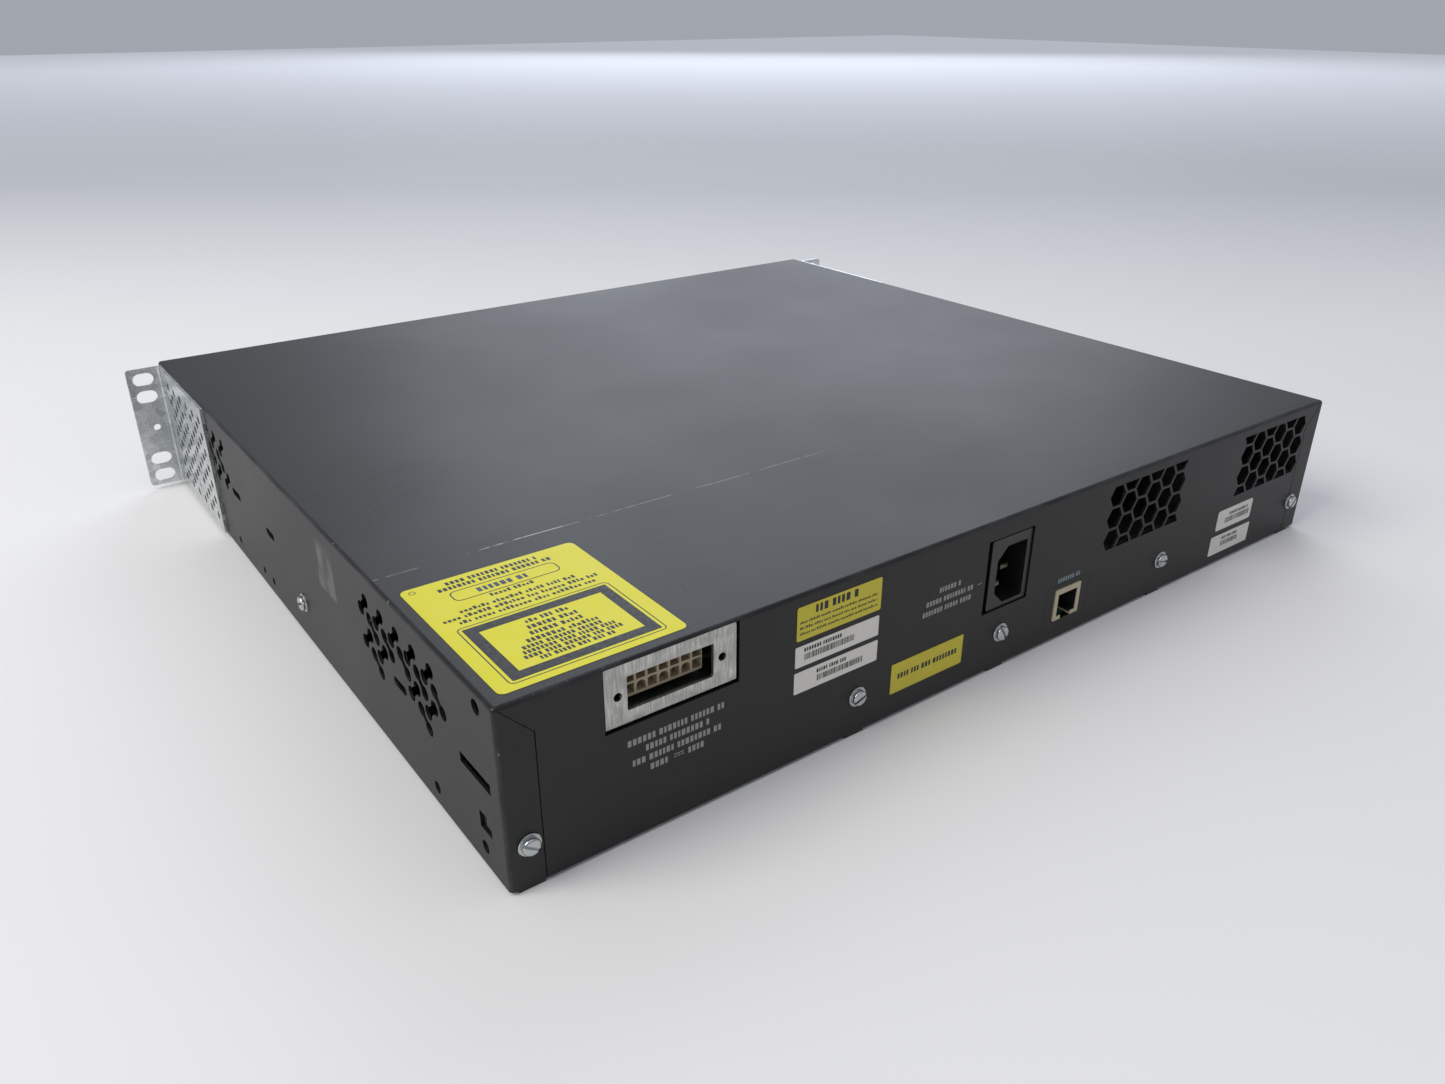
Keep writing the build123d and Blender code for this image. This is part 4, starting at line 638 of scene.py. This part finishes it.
def wall_prints():
    """Captions under the DC input, beside the mains inlet and over the console jack, as plain blocks."""
    captions = Print(rear, ink_low, ink_high, seed=11)
    dc_input_lines = ((43.0, 80.0, 36.3), (49.5, 74.5, 32.4), (44.5, 79.5, 28.4), (51.0, 58.5, 24.5),
                      (65.5, 72.5, 24.5))
    inlet_lines = ((179.0, 190.5, 46.5), (172.5, 198.5, 42.3), (171.0, 199.0, 38.3))
    for lines, height in ((dc_input_lines, 2.3), (inlet_lines, 2.1)):
        for line in lines:
            captions.row(*line, height)
    # The direct-current sign, a bar over three dashes, and a dash after the inlet's second line.
    captions.block(60.0, 63.8, 24.95, 25.3)
    for left in (60.0, 61.4, 62.8):
        captions.block(left, left + 1.0, 24.0, 24.35)
    captions.block(200.0, 202.5, 42.15, 42.45)
    captions.finish("wall_captions", grey_ink)
    marks = Print(rear, ink_low, ink_high, seed=13)
    marks.block(12.6, 14.6, 4.8, 5.4)
    marks.block(12.8, 14.4, 7.8, 8.2)
    marks.finish("corner_marks", dark_ink)
    jack_caption = Print(rear, ink_low, ink_high, seed=5)
    jack_caption.row(251.0, 265.6, 27.5, 2.1)
    jack_caption.finish("console_caption", blue_grey_ink)


def top_label():
    """The yellow label on the cover: a vinyl sheet with a frame, thin outlines and rows of plain blocks."""
    low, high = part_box("top_label")
    width, depth = (high.x - low.x) / MM, (high.y - low.y) / MM
    film, ink_film = 0.11, 0.015

    def place(across, forward, out=0.0):
        return Vector((high.x - across * MM, high.y - forward * MM, low.z + out * MM))

    sheet = Print(place, 0.0, film)
    sheet.plate(rounded(0, width, 0, depth, 2.5, steps=10))
    piece = sheet.finish("top_label_film", top_yellow)
    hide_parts("top_label")

    # A heavy frame in a thin outline, an outline round the stamp, then the rows and a small ring.
    black = Print(place, film, film + ink_film, seed=3)
    black.plate(rounded(6.5, 58.0, 4.5, 39.5, 0.4), rounded(10.5, 54.0, 8.5, 35.5, 0.1))
    black.outline(5.0, 59.5, 3.0, 41.0, 0.4, 2.0)
    black.outline(13.0, 52.0, 57.3, 64.7, 0.45, 2.4)
    for height, small, lines in ((2.3, 0.0, ((15, 50, 70.8), (11, 54, 67.5))),
                                 (2.1, 0.6, ((24, 41, 55.5), (11, 53, 50.8), (4, 61, 47.5), (8, 57, 44.2))),
                                 (2.3, 0.3, ((25, 41, 33), (24, 42, 29.2), (23, 43, 25.6), (20, 45, 22))),
                                 (2.0, 0.0, ((17, 46, 19), (16, 48, 16.4), (15, 49, 13.8), (19, 45, 11.2)))):
        for line in lines:
            black.row(*line, height, small)
    black.outline(2.4, 4.8, 70.2, 72.6, 0.3, 1.15)
    black.finish("top_label_print", black_ink)

    stamp = Print(place, film, film + ink_film, seed=9)
    stamp.row(22.0, 42.0, 61.0, 3.0)
    stamp.finish("top_label_stamp", date_ink)


def rear_label_prints():
    """Rows of plain blocks and bars on the six labels of the rear wall."""
    upper, lower = [face_of(*box) for box in solid_boxes("rear_caution_labels")]
    first, second, third, fourth = [face_of(*box) for box in solid_boxes("rear_id_labels")]

    heading = Print(upper, ink_low, ink_high, seed=2)
    heading.row(8.0, 29.0, 10.5, 3.0)
    for middle in (7.0, 4.8, 2.6):
        heading.row(1.2, 37.2, middle, 1.0, small=0.7)
    heading.finish("caution_label_print", black_ink)

    version = Print(lower, ink_low, ink_high, seed=4)
    version.row(3.4, 35.0, 6.8, 2.3)
    version.finish("version_label_print", black_ink)

    for name, place, seed, line, bars in (
            ("id_label_print_1", first, 6, (3.8, 22.5, 6.3), (3.8, 26.8, 2.2, 4.7)),
            ("id_label_print_2", second, 7, (10.0, 24.5, 6.3), (10.3, 31.5, 2.2, 4.6)),
            ("id_label_print_3", third, 8, (9.0, 22.5, 7.6), (9.0, 23.0, 3.4, 5.9)),
            ("id_label_print_4", fourth, 9, (9.5, 25.0, 7.2), (6.8, 27.0, 2.8, 5.6))):
        label = Print(place, ink_low, ink_high, seed=seed)
        label.row(*line, 1.5)
        label.bars(*bars)
        label.finish(name, black_ink)


# ---------------------------------------------------------------- camera, light and floor
def camera():
    """Behind the rear +X corner, looking down at the unit as on a table."""
    place = (0.32237, 0.44394, 0.24451)
    azimuth, elevation, roll = math.radians(143.508), math.radians(26.116), math.radians(0.108)
    back = Vector((math.sin(azimuth) * math.cos(elevation), -math.cos(azimuth) * math.cos(elevation),
                   math.sin(elevation)))
    level = Vector((0, 0, 1)).cross(back).normalized()
    upright = back.cross(level)
    right = math.cos(roll) * level + math.sin(roll) * upright
    up = math.cos(roll) * upright - math.sin(roll) * level
    data = bpy.data.cameras.new("camera")
    data.sensor_width = 36.0
    data.lens = 27.667
    data.clip_start, data.clip_end = 0.01, 50.0
    view = bpy.data.objects.new("camera", data)
    bpy.context.scene.collection.objects.link(view)
    turn = Matrix((right, up, back)).transposed().to_4x4()
    view.matrix_world = Matrix.Translation(place) @ turn
    bpy.context.scene.camera = view


def softbox(name, place, size, power, colour=(1.0, 1.0, 1.0)):
    """A square area light that looks at the object's centre."""
    data = bpy.data.lights.new(name, "AREA")
    data.size = size
    data.energy = power
    data.color = colour
    lamp = bpy.data.objects.new(name, data)
    bpy.context.scene.collection.objects.link(lamp)
    lamp.location = centre + Vector(place)
    lamp.rotation_mode = "QUATERNION"
    lamp.rotation_quaternion = (-Vector(place)).to_track_quat("-Z", "Y")


def studio():
    """A soft key from the +X side, a wide cool fill beyond the front, a faint top light and the surround."""
    softbox("key", (1.6, -0.1, 1.5), 1.3, 29.0, (1.0, 0.98, 0.95))
    softbox("front_fill", (-2.75, -3.41, 2.35), 3.8, 88.0, (0.84, 0.90, 1.0))
    softbox("top_fill", (0.2, 0.5, 1.9), 1.8, 4.0)
    world = bpy.data.worlds.new("surround")
    world.use_nodes = True
    background = world.node_tree.nodes["Background"]
    background.inputs["Color"].default_value = (*surround_colour, 1.0)
    background.inputs["Strength"].default_value = 0.42
    bpy.context.scene.world = world
    # The default view transform would pale the yellow labels.
    bpy.context.scene.view_settings.view_transform = "Standard"


def floor():
    """A wide pale floor under the unit."""
    half = 6.0
    data = bpy.data.meshes.new("floor")
    corners = [(-half, -half, 0), (half, -half, 0), (half, half, 0), (-half, half, 0)]
    data.from_pydata(corners, [], [(0, 1, 2, 3)])
    data.materials.append(floor_paint())
    plane = bpy.data.objects.new("floor", data)
    bpy.context.scene.collection.objects.link(plane)
    plane.location.z = cad_box[0].z


finish_cad_nodes()
wall_prints()
top_label()
rear_label_prints()
camera()
studio()
floor()
